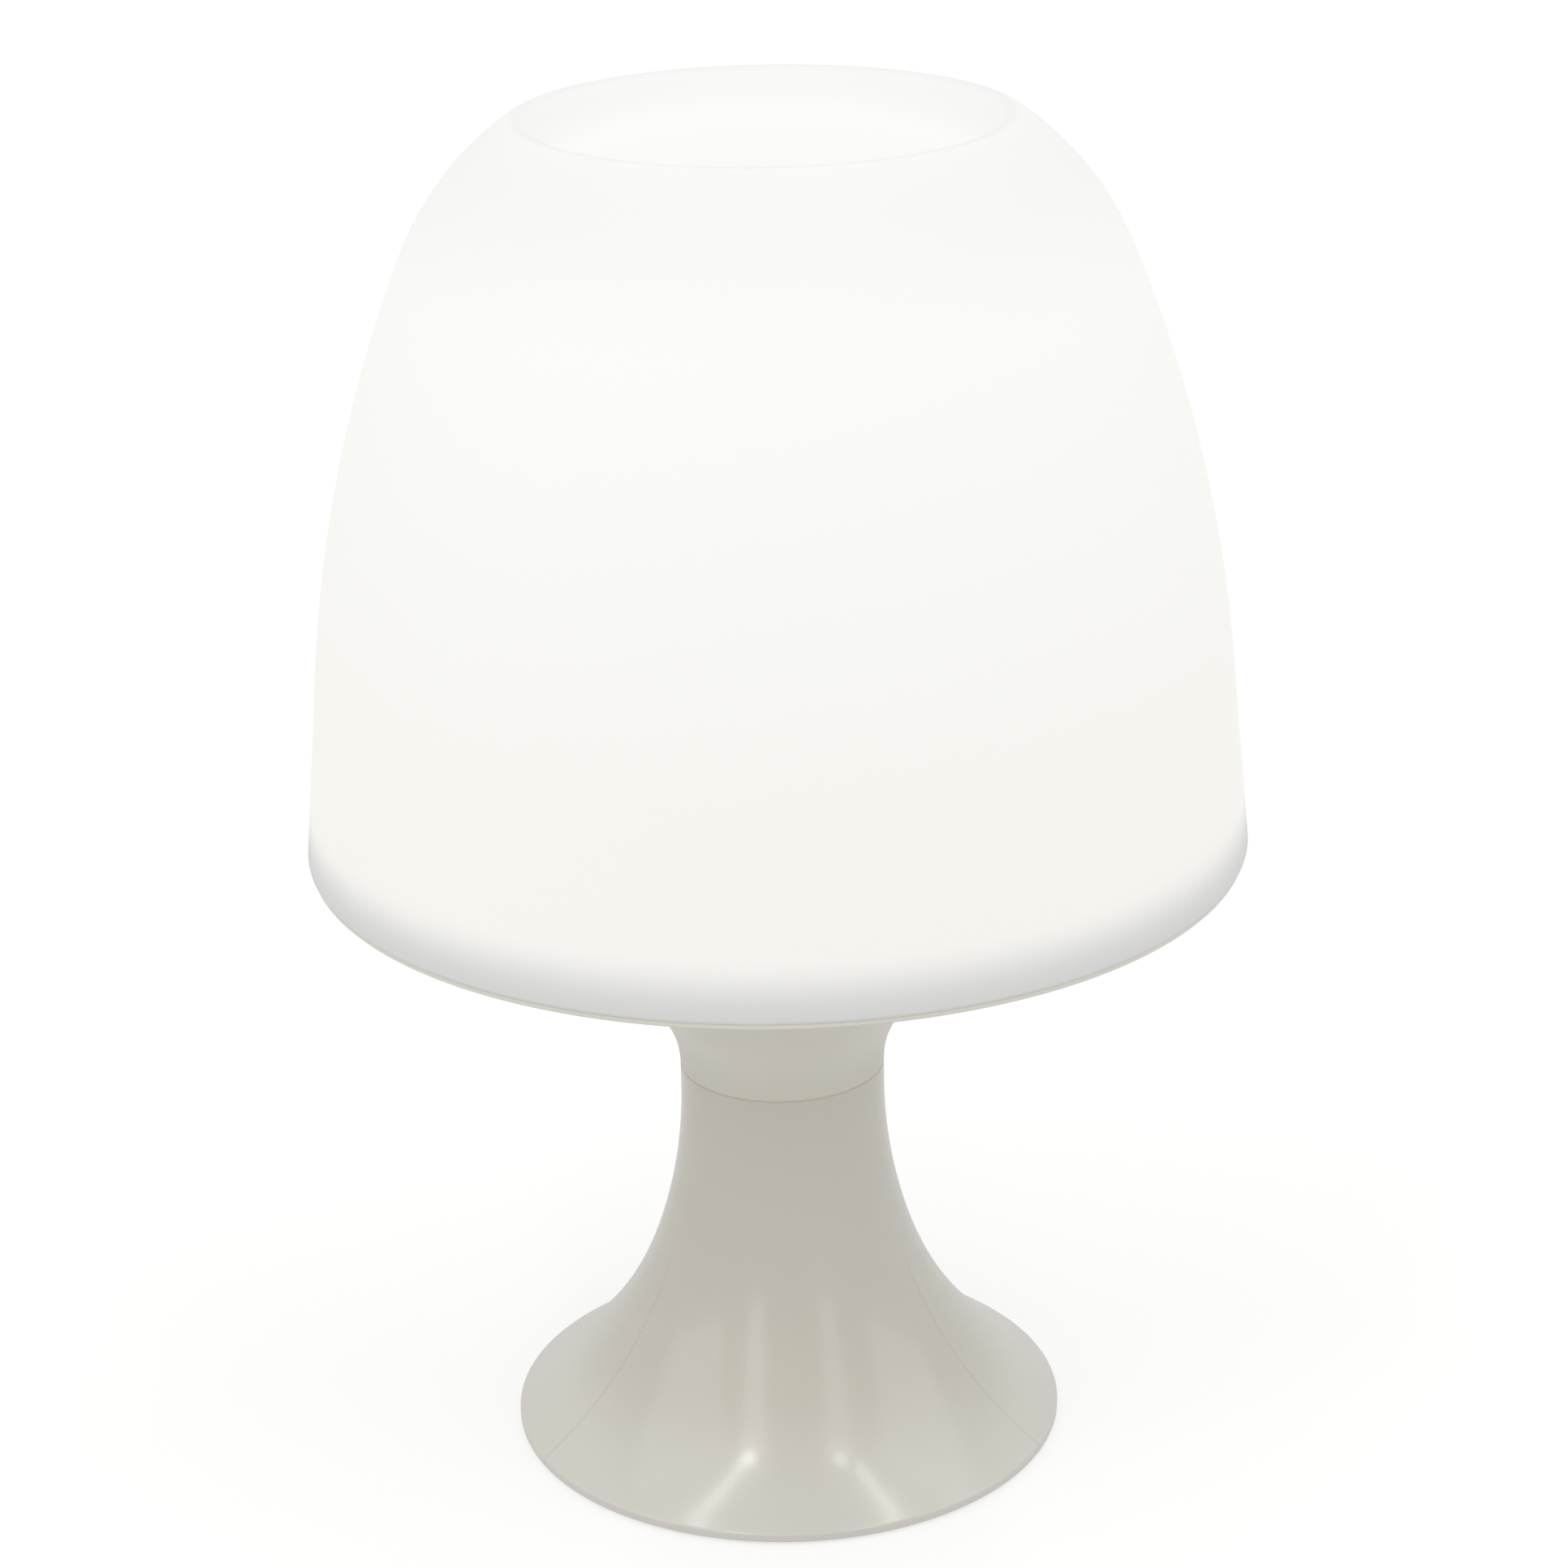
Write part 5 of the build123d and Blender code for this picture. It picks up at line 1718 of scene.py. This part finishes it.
@dataclass
class Tray:
    """Funnel tray between the neck and the shade's lower edge.

    Attributes:
        neck_radius: Radius of the collar at the neck.
        wall: Thickness of the funnel.
        collar_slope: Slope where the collar meets the brim.
        brim_slope: Slope of the brim at the lip.
        seam: Width of the bevel at the joint with the base.
        lip_height: Height of the lip under the shade.
        lip_radius: Radius of the lip.
        lip_round: Rounding of the lip's edge.
        rim_inset: Distance of the rim inside the shade's outer surface.
        rim_wall: Thickness of the rim.
        spigot_radius: Outer radius of the spigot in the neck.
        spigot_wall: Thickness of the spigot.
        web_low: Height of the web's underside.
        web_high: Height of the web's top.
        web_inset: Share of the funnel's wall between its outer face and the web's edge.
        post_radius: Radius of a post or a boss.
        snap_count: Number of snaps on the rim.
        snap_width: Width of a snap.
        snap_depth: Depth of a snap.
        snap_height: Height of a snap.
        snap_offset: Height of the snaps above the shade's lower edge.
        snap_lead: Share of a snap's depth that its bevel takes.
        snap_gap: Room round a snap in its pocket.
        segments: Segments round the axis.
    """

    neck_radius: float = Base.neck_radius
    wall: float = 0.0018
    collar_slope: float = 47.0
    brim_slope: float = 8.0
    seam: float = Base.seam
    lip_height: float = 0.0009
    lip_radius: float = 0.0794
    lip_round: float = 0.0003
    rim_inset: float = 0.0019
    rim_wall: float = 0.0015
    spigot_radius: float = 0.01545
    spigot_wall: float = 0.0012
    web_low: float = 0.0710
    web_high: float = 0.0730
    web_inset: float = 0.25
    post_radius: float = 0.0026
    snap_count: int = 4
    snap_width: float = 0.0060
    snap_depth: float = 0.0008
    snap_height: float = 0.0014
    snap_offset: float = 0.0050
    snap_lead: float = 0.6
    snap_gap: float = 0.0003
    segments: int = 192

    def __post_init__(self) -> None:
        """Reads the tray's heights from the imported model."""
        low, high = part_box("shade_tray")
        self.spigot_low = low.z
        self.rim_top = high.z
        self.neck_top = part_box("base_shell")[1].z
        self.lip_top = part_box("shade")[0].z
        self.board_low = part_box("light_board")[0].z

    def arcs(self) -> Point:
        """Finds the two arcs of the funnel's outer surface.

        Returns:
            The radii of the brim and of the collar.
        """
        lip = (self.lip_radius, self.lip_top - self.lip_height)
        angles = (180 + self.brim_slope, 180 + self.collar_slope, 270.0)
        return two_arcs(lip, (self.neck_radius, self.neck_top), angles)

    def rim_radius(self, shade: Shade, inset: float, height: float) -> float:
        """Finds the radius at a height of a face that stands inside the shade's outer surface."""
        lean = math.radians(shade.side_angle)
        return shade.radius - inset / math.cos(lean) - (height - shade.foot_height) * math.tan(lean)

    def outline(self, shade: Shade) -> list[Point]:
        """Draws the funnel's section as one closed loop from the joint's inner edge.

        Args:
            shade: Shade that the rim stands in.

        Returns:
            The outline's points, the last one the same as the first.
        """
        brim, collar = self.arcs()
        skip = math.asin(self.seam / collar)
        start = Outline(self.neck_radius - self.wall, self.neck_top)
        start.to(self.neck_radius - self.seam, self.neck_top)
        start.to(self.neck_radius + collar * (1 - math.cos(skip)), self.neck_top + self.seam)
        start.heading = 90 - math.degrees(skip)
        start.arc(collar, self.collar_slope - start.heading).arc(brim, self.brim_slope - self.collar_slope)
        lip_low = start.points.pop()[1]
        start.to(self.lip_radius - self.lip_round, lip_low)
        start.to(self.lip_radius, lip_low + self.lip_round).to(self.lip_radius, self.lip_top)
        start.to(self.rim_radius(shade, self.rim_inset, self.lip_top), self.lip_top)
        start.to(self.rim_radius(shade, self.rim_inset, self.rim_top), self.rim_top)
        inner_inset = self.rim_inset + self.rim_wall
        start.to(self.rim_radius(shade, inner_inset, self.rim_top), self.rim_top)
        start.to(self.rim_radius(shade, inner_inset, self.lip_top), self.lip_top)
        inside = Outline(self.neck_radius - self.wall, self.neck_top)
        inside.heading = 90.0
        inside.arc(collar + self.wall, self.collar_slope - 90)
        inside.arc(brim + self.wall, self.brim_slope - self.collar_slope)
        floor = [point for point in inside.points if point[1] < self.lip_top]
        return start.points + floor[::-1]

    def build(self, shade: Shade) -> None:
        """Builds the funnel, its hub, posts, bosses and snaps and puts them on the lamp.

        Args:
            shade: Shade that the rim stands in.
        """
        finish = PALETTE.tray
        points = self.outline(shade)
        funnel = grow("funnel_tray", points, [turned(points, self.segments, finish)])
        seat(funnel, "shade_tray")
        bore = self.spigot_radius - self.spigot_wall
        web_radius = self.neck_radius - self.web_inset * self.wall
        hub = Outline(0.0, self.web_low).to(bore, self.web_low).to(bore, self.spigot_low)
        hub.to(self.spigot_radius, self.spigot_low).to(self.spigot_radius, self.web_low)
        hub.to(web_radius, self.web_low).to(web_radius, self.web_high).to(0.0, self.web_high)
        steps = [turned(hub.points, DISC_SEGMENTS, finish)]
        fixings = Fixings()
        for place, radius in fixings.web_holes((self.web_low + self.web_high) / 2):
            steps.append(drilled(place, radius, 2 * self.wall, finish))
        seat(grow("tray_hub", hub.points, steps), "shade_tray")
        self.tubes("tray_posts", self.web_high, self.board_low, fixings.post_circle)
        self.tubes("tray_bosses", self.spigot_low, self.web_low, fixings.boss_circle)
        self.snaps(shade)

    def snap_ring(self, shade: Shade, finish: Finish) -> Step:
        """Describes the ring of places where the snaps stand.

        Args:
            shade: Shade that the snaps hold.
            finish: Finish of what is made there.

        Returns:
            The step.
        """
        middle = self.lip_top + self.snap_offset + self.snap_height / 2
        face = self.rim_radius(shade, self.rim_inset, middle)
        return ring(self.snap_count, face, 180 / self.snap_count, middle, finish)

    def pockets(self, shade: Shade) -> Step:
        """Describes the pockets that the snaps stand in.

        Args:
            shade: Shade that the snaps hold.

        Returns:
            The step.
        """
        room = 2 * self.snap_gap
        size = (2 * self.snap_depth + room, self.snap_width + room, self.snap_height + room)
        places = self.snap_ring(shade, PALETTE.shade)
        return Step(TREES.pockets, PALETTE.shade, places.values | {"Pocket Size": size})

    def snaps(self, shade: Shade) -> None:
        """Builds the ring of snaps on the rim.

        Args:
            shade: Shade that the snaps hold.
        """
        finish = PALETTE.tray
        half = self.snap_height / 2
        lead = self.snap_lead * self.snap_depth
        barb = Outline(-self.snap_depth, -half).to(self.snap_depth, -half).to(self.snap_depth, half - lead)
        barb.to(self.snap_depth - lead, half).to(-self.snap_depth, half).to(-self.snap_depth, -half)
        bar = Step(TREES.bar, finish, {"Bar Length": self.snap_width})
        piece = grow("tray_snaps", barb.points, [bar, self.snap_ring(shade, finish)])
        seat(piece, "shade_tray")

    def tubes(self, name: str, low: float, high: float, circle: float) -> None:
        """Builds a ring of screw tubes.

        Args:
            name: Name of the piece.
            low: Height of their lower ends.
            high: Height of their upper ends.
            circle: Distance of the tubes from the axis.
        """
        fixings = Fixings()
        tube = Outline(fixings.bore, low).to(self.post_radius, low).to(self.post_radius, high)
        tube.to(fixings.bore, high).to(fixings.bore, low)
        copies = ring(fixings.count, circle, fixings.start, 0.0, PALETTE.tray)
        steps = [turned(tube.points, TUBE_SEGMENTS, PALETTE.tray), copies]
        piece = grow(name, tube.points, steps)
        seat(piece, "shade_tray")


@dataclass(frozen=True)
class ScrewKind:
    """One kind of pan-head screw.

    Attributes:
        node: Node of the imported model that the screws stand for.
        count: Number of screws.
        circle: Distance of the screws from the axis.
        start: Direction of the first screw.
        sense: Way that the shank points.
        head_radius: Radius of the head.
        head_height: Height of the head.
        shank_radius: Radius of the thread's root.
        length: Length of the shank.
        brim_share: Share of the head's height below its dome.
        dome_shares: Shares of the head's radius where the dome has a ring of edges.
        thread_pitch: Distance from one thread to the next.
        thread_depth: Height of the thread above its root.
        thread_land: Share of the pitch that stays plain to each side of the thread.
        tip_length: Length of the pointed tip.
        recess_depth: Depth of the cross recess.
        recess_length: Length of the recess over the head's radius.
        recess_width: Width of the recess over the head's radius.
    """

    node: str
    count: int
    circle: float
    start: float
    sense: Sense
    head_radius: float = 0.0020
    head_height: float = 0.0010
    shank_radius: float = 0.00105
    length: float = 0.0080
    brim_share: float = 0.4
    dome_shares: tuple[float, ...] = (0.35, 0.6, 0.8, 0.93, 1.0)
    thread_pitch: float = 0.0008
    thread_depth: float = 0.0002
    thread_land: float = 0.35
    tip_length: float = 0.0010
    recess_depth: float = 0.0007
    recess_length: float = 1.24
    recess_width: float = 0.36

    def outline(self) -> list[Point]:
        """Draws half of the screw's section, seated on height 0, from its head to its tip.

        Returns:
            The outline's points.
        """
        sense = self.sense.value
        brim = self.brim_share * self.head_height
        dome = [(0.0, self.head_height)]
        for share in self.dome_shares:
            fall = 1 - math.sqrt(1 - share * share)
            dome.append((self.head_radius * share, self.head_height - fall * (self.head_height - brim)))
        points = dome + [(self.head_radius, 0.0), (self.shank_radius, 0.0)]
        turns = max(1, int((self.length - self.tip_length) / self.thread_pitch))
        land = self.thread_land * self.thread_pitch
        for turn in range(turns):
            top = -turn * self.thread_pitch
            points.append((self.shank_radius, top - land))
            points.append((self.shank_radius + self.thread_depth, top - self.thread_pitch / 2))
            points.append((self.shank_radius, top - self.thread_pitch + land))
        points.append((self.shank_radius, -(self.length - self.tip_length)))
        points.append((0.0, -self.length))
        return [(radius, -sense * height) for radius, height in points]

    def build(self) -> None:
        """Builds the ring of screws in its place."""
        low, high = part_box(self.node)
        up = self.sense is Sense.UP
        seat_height = low.z + self.head_height if up else high.z - self.head_height
        recess = {
            "Recess Length": self.recess_length * self.head_radius,
            "Recess Width": self.recess_width * self.head_radius,
            "Recess Height": self.recess_depth,
            "Head Top": -self.sense.value * self.head_height,
        }
        points = self.outline()
        copies = ring(self.count, self.circle, self.start, seat_height, PALETTE.steel)
        cross = Step(TREES.cross, PALETTE.steel, recess)
        steps = [turned(points, SCREW_SEGMENTS, PALETTE.steel), cross, copies]
        seat(grow(f"pan_{self.node}", points, steps), self.node)


@dataclass
class Underside:
    """Base plate, feet, battery cover and the screws that hold the lamp together.

    Attributes:
        foot_radius: Radius of a foot.
        foot_circle: Distance of the feet from the axis.
        foot_count: Number of feet.
        foot_round: Rounding of a foot's edge.
        hollow_radius: Radius of the hollow in a foot's sole.
        hollow_depth: Depth of that hollow, and width of its slope.
        screws: Kinds of screws.
    """

    foot_radius: float = 0.0050
    foot_circle: float = 0.03505
    foot_count: int = 4
    foot_round: float = 0.0006
    hollow_radius: float = 0.0030
    hollow_depth: float = 0.0003
    screws: tuple[ScrewKind, ...] = (
        ScrewKind(
            "base_plate_screws",
            Base.boss_count,
            Base.boss_circle,
            start=0.0,
            head_radius=0.0026,
            shank_radius=0.0013,
            sense=Sense.UP,
        ),
        ScrewKind("neck_screws", Fixings.count, Fixings.boss_circle, Fixings.start, sense=Sense.UP),
        ScrewKind("board_screws", Fixings.count, Fixings.post_circle, Fixings.start, sense=Sense.DOWN),
    )

    def feet(self) -> None:
        """Builds the ring of rubber feet."""
        low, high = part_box("feet")
        foot = Outline(0.0, high.z).to(self.foot_radius, high.z).to(self.foot_radius, low.z + self.foot_round)
        foot.heading = 270.0
        foot.arc(self.foot_round, -90)
        foot.to(self.hollow_radius, low.z)
        foot.to(self.hollow_radius - self.hollow_depth, low.z + self.hollow_depth)
        foot.to(0.0, low.z + self.hollow_depth)
        copies = ring(self.foot_count, self.foot_circle, 180 / self.foot_count, 0.0, PALETTE.rubber)
        steps = [turned(foot.points, FOOT_SEGMENTS, PALETTE.rubber), copies]
        piece = grow("rubber_feet", foot.points, steps)
        seat(piece, "feet")

    def build(self) -> None:
        """Builds the feet and screws and dresses the plate and the cover."""
        dress("base_plate", PALETTE.underside)
        dress("battery_cover", PALETTE.underside)
        dress("cover_pad", PALETTE.foam)
        self.feet()
        for kind in self.screws:
            kind.build()


@dataclass
class Cartridge:
    """Battery cartridge with its cells, contacts and sleeve.

    Attributes:
        cell_radius: Radius of a cell.
        cell_pitch: Distance of the cells from the axis.
        nub_radius: Radius of the positive nub.
        nub_height: Height of the positive nub.
        nub_edge: Bevel of the nub's edge and of the hollow in the other end.
        nub_foot: Width of the slope at the nub's foot.
        rim_width: Width of the raised rim round the other end.
        edge_round: Rounding of the can's edges.
        wrap_edge: Width of the bare rim at the lower end.
        shoulder_edge: Width of the bare rim at the upper end.
        letters: Letters of the cells.
        turned_cell: Letter of the cell whose nub points down.
        cell_start: Direction of the first cell.
    """

    cell_radius: float = 0.0052
    cell_pitch: float = 0.0066973
    nub_radius: float = 0.0019
    nub_height: float = 0.0010
    nub_edge: float = 0.0003
    nub_foot: float = 0.0001
    rim_width: float = 0.0013
    edge_round: float = 0.0004
    wrap_edge: float = 0.0007
    shoulder_edge: float = 0.000175
    letters: str = "abc"
    turned_cell: str = "b"
    cell_start: float = 30.0

    def cell(self, letter: str, direction: float) -> None:
        """Builds one cell in its place.

        Args:
            letter: Letter of the cell.
            direction: Direction of the cell from the axis.
        """
        node = f"battery_cell_{letter}"
        low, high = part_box(node)
        length = high.z - low.z
        shoulder = length - self.nub_height
        rim_inner = self.cell_radius - self.rim_width
        line = Outline(0.0, self.nub_edge).to(rim_inner - self.nub_edge, self.nub_edge)
        line.to(rim_inner, 0.0).to(self.cell_radius - self.edge_round, 0.0)
        line.heading = 0.0
        line.arc(self.edge_round, 90).to(self.cell_radius, shoulder - self.edge_round)
        line.heading = 90.0
        line.arc(self.edge_round, 90).to(self.nub_radius + self.nub_foot, shoulder)
        line.to(self.nub_radius, shoulder + self.nub_foot).to(self.nub_radius, length - self.nub_edge)
        line.to(self.nub_radius - self.nub_edge, length).to(0.0, length)
        points = line.points
        if letter == self.turned_cell:
            points = [(radius, length - height) for radius, height in points]
        copies = ring(1, self.cell_pitch, direction, low.z, PALETTE.wrap)
        steps = [turned(points, CELL_SEGMENTS, PALETTE.wrap), copies]
        piece = grow(f"wrapped_{node}", points, steps)
        self.bare_ends(piece, direction, low.z, high.z)
        seat(piece, node)

    def bare_ends(self, piece: Piece, direction: float, low: float, high: float) -> None:
        """Shows bare metal past the wrap's ends.

        Args:
            piece: Cell that is dressed.
            direction: Direction of the cell from the axis.
            low: Height of its lower end.
            high: Height of its upper end.
        """
        piece.data.materials.append(PALETTE.contact.material())
        turn = math.radians(direction)
        axis = Vector((self.cell_pitch * math.cos(turn), self.cell_pitch * math.sin(turn), 0.0))
        bare_radius = self.cell_radius - self.wrap_edge
        for face in piece.data.polygons:
            away = face.center - axis
            on_wall = low + self.wrap_edge < face.center.z < high - self.nub_height - self.shoulder_edge
            face.material_index = 0 if on_wall and math.hypot(away.x, away.y) > bare_radius else 1

    def build(self) -> None:
        """Builds the cells and dresses the rest of the cartridge."""
        for step, letter in enumerate(self.letters):
            self.cell(letter, self.cell_start + 360 * step / len(self.letters))
        dress("cartridge_frame", PALETTE.black)
        dress("battery_sleeve", PALETTE.natural)
        contacts = ("lower_bridge", "upper_bridge", "positive_plate", "negative_strip")
        for node in contacts + ("positive_terminal", "negative_terminal"):
            dress(node, PALETTE.contact)


@dataclass
class Electrics:
    """Light board, slide switch and wires.

    Attributes:
        finishes: Finish of each piece by the name of its node.
    """

    finishes: dict[str, Finish] = field(
        default_factory=lambda: {
            "light_board": PALETTE.board,
            "light_chips": PALETTE.chip,
            "board_resistors": PALETTE.black,
            "switch_body": PALETTE.black,
            "switch_slider": PALETTE.black,
            "switch_pins": PALETTE.contact,
            "switch_screws": PALETTE.steel,
            "negative_wire": PALETTE.wire_black,
            "switched_wire": PALETTE.wire_white,
            "positive_wire": PALETTE.wire_red,
        }
    )

    def build(self) -> None:
        """Dresses each piece in its finish."""
        for node, finish in self.finishes.items():
            dress(node, finish)


# Studio


@dataclass(frozen=True)
class Softbox:
    """Soft studio lamp that points at the middle of the object.

    Attributes:
        name: Name of the studio lamp.
        azimuth: Direction from the object, where 0 is the camera's side and 90 is +X.
        elevation: Direction above the floor.
        distance: Distance from the object.
        width: Width of its face.
        height: Height of its face.
        level: Brightness of its face.
    """

    name: str
    azimuth: float
    elevation: float
    distance: float
    width: float
    height: float
    level: float

    def build(self, target: Vector) -> None:
        """Sets up the studio lamp.

        Args:
            target: Place that it points at.
        """
        lamp = bpy.data.lights.new(self.name, "AREA")
        lamp.shape = "RECTANGLE"
        lamp.size = self.width
        lamp.size_y = self.height
        lamp.energy = self.level * math.pi * self.width * self.height
        turn = math.radians(self.azimuth)
        rise = math.radians(self.elevation)
        way = Vector((math.sin(turn) * math.cos(rise), -math.cos(turn) * math.cos(rise), math.sin(rise)))
        stand = bpy.data.objects.new(self.name, lamp)
        stand.location = target + way * self.distance
        stand.rotation_euler = way.to_track_quat("Z", "Y").to_euler()
        stand.visible_camera = False
        bpy.context.scene.collection.objects.link(stand)


@dataclass
class Studio:
    """Camera, floor, lamps and surroundings.

    Attributes:
        camera_place: Place of the camera.
        camera_pitch: Angle that the camera looks down by.
        camera_yaw: Angle that it looks aside by, to the right when positive.
        camera_roll: Angle that it leans by.
        lens: Focal length in millimetres.
        sensor: Width of the sensor in millimetres.
        floor_size: Width of the floor.
        floor_color: Colour of the floor.
        floor_glow: Share of the floor's look that stays white.
        near_level: Level of that white round the object.
        far_level: Level of that white where the lamps' light has fallen off.
        floor_mirror: Share of that white that shows in reflections.
        near_reach: Distance from the object where the first level ends.
        far_reach: Distance from the object where the second level starts.
        world_level: Level of the even light from all round.
        mirror_level: Level of the surroundings in reflections.
        softboxes: Lamps of the studio.
    """

    camera_place: Place = (0.0, -0.6302, 0.3637)
    camera_pitch: float = 21.15
    camera_yaw: float = 0.11
    camera_roll: float = -1.08
    lens: float = 91.06
    sensor: float = 36.0
    floor_size: float = 6.0
    floor_color: Color = (0.92, 0.92, 0.91, 1.0)
    floor_glow: float = 0.40
    near_level: float = 1.31
    far_level: float = 1.61
    floor_mirror: float = 0.42
    near_reach: float = 0.45
    far_reach: float = 0.90
    world_level: float = 0.64
    mirror_level: float = 0.69
    softboxes: tuple[Softbox, ...] = (
        Softbox("left_panel", -68.0, 32.0, 1.2, 0.80, 0.9, 0.58),
        Softbox("right_panel", 80.0, 32.0, 1.2, 0.75, 0.9, 0.62),
        Softbox("left_strip", -24.0, 31.0, 1.2, 0.24, 1.00, 1.08),
        Softbox("right_strip", 32.0, 31.0, 1.2, 0.24, 1.00, 0.82),
        Softbox("left_spot", -28.0, 53.0, 1.2, 0.11, 0.08, 11.5),
        Softbox("right_spot", 34.0, 53.0, 1.2, 0.11, 0.08, 6.6),
        Softbox("left_header", -80.0, 64.0, 1.2, 1.20, 0.08, 5.0),
        Softbox("right_header", 94.0, 64.0, 1.2, 1.20, 0.08, 5.0),
        Softbox("back_panel", 180.0, 50.0, 1.3, 1.2, 0.9, 0.25),
    )

    def camera(self) -> None:
        """Sets up the camera at the photograph's viewing angle."""
        data = bpy.data.cameras.new("front_camera")
        data.lens = self.lens
        data.sensor_width = self.sensor
        camera = bpy.data.objects.new("front_camera", data)
        aside = Matrix.Rotation(math.radians(-self.camera_yaw), 4, "Z")
        down = Matrix.Rotation(math.radians(90 - self.camera_pitch), 4, "X")
        lean = Matrix.Rotation(math.radians(self.camera_roll), 4, "Z")
        camera.matrix_world = Matrix.Translation(self.camera_place) @ aside @ down @ lean
        bpy.context.scene.collection.objects.link(camera)
        bpy.context.scene.camera = camera

    def floor(self) -> None:
        """Lays a pale floor that keeps the object's shadow and is clear from below."""
        half = self.floor_size / 2
        mesh = bpy.data.meshes.new("floor")
        corners = [(-half, -half, 0), (half, -half, 0), (half, half, 0), (-half, half, 0)]
        mesh.from_pydata(corners, [], [(0, 1, 2, 3)])
        floor = bpy.data.objects.new("floor", mesh)
        bpy.context.scene.collection.objects.link(floor)
        floor.visible_shadow = False
        floor.visible_diffuse = False
        paint = bpy.data.materials.new("floor_paint")
        paint.use_nodes = True
        paint.node_tree.nodes.clear()
        graph = Graph(paint.node_tree)
        plain_paint = graph.add("ShaderNodeBsdfDiffuse", {"Color": self.floor_color})
        reach = graph.add("ShaderNodeVectorMath", {0: graph.place()}, operation="LENGTH").outputs["Value"]
        level = graph.ramp(reach, self.near_reach, self.far_reach, self.near_level, self.far_level)
        mirrored = graph.add("ShaderNodeLightPath").outputs["Is Glossy Ray"]
        calmed = graph.math("MULTIPLY_ADD", mirrored, self.floor_mirror - 1.0, 1.0)
        white = graph.add("ShaderNodeEmission", {"Strength": graph.math("MULTIPLY", level, calmed)})
        soft = graph.add("ShaderNodeMixShader", {0: self.floor_glow, 1: plain_paint.outputs[0]})
        graph.put(soft.inputs[2], white.outputs[0])
        clear = graph.add("ShaderNodeBsdfTransparent")
        behind = graph.add("ShaderNodeNewGeometry").outputs["Backfacing"]
        shown = graph.add("ShaderNodeMixShader", {0: behind, 1: soft.outputs[0], 2: clear.outputs[0]})
        graph.add("ShaderNodeOutputMaterial", {"Surface": shown.outputs[0]})
        mesh.materials.append(paint)

    def surroundings(self) -> None:
        """Surrounds the object with even light and a white background."""
        world = bpy.data.worlds.new("white_room")
        world.use_nodes = True
        world.node_tree.nodes.clear()
        graph = Graph(world.node_tree)
        path = graph.add("ShaderNodeLightPath").outputs
        seen = graph.math("MAXIMUM", path["Is Camera Ray"], path["Is Transmission Ray"])
        extra = self.mirror_level - self.world_level
        mirrored = graph.math("MULTIPLY_ADD", path["Is Glossy Ray"], extra, self.world_level)
        strength = graph.math("MAXIMUM", seen, mirrored)
        sky = graph.add("ShaderNodeBackground", {"Color": (1.0, 1.0, 1.0, 1.0), "Strength": strength})
        graph.add("ShaderNodeOutputWorld", {"Surface": sky.outputs[0]})
        bpy.context.scene.world = world

    def build(self) -> None:
        """Sets up the whole studio."""
        bpy.context.scene.view_settings.view_transform = "Standard"
        target = (cad_bounds[0] + cad_bounds[1]) / 2
        self.camera()
        self.floor()
        self.surroundings()
        for softbox in self.softboxes:
            softbox.build(target)


def main() -> None:
    """Builds the lamp's looks and the studio in order."""
    logging.basicConfig(level=logging.INFO, format="%(name)s %(message)s")
    shade = Shade()
    Base().build()
    tray = Tray()
    tray.build(shade)
    shade.build(tray.pockets(shade))
    Underside().build()
    Cartridge().build()
    Electrics().build()
    Studio().build()


if __name__ == "__main__":
    main()
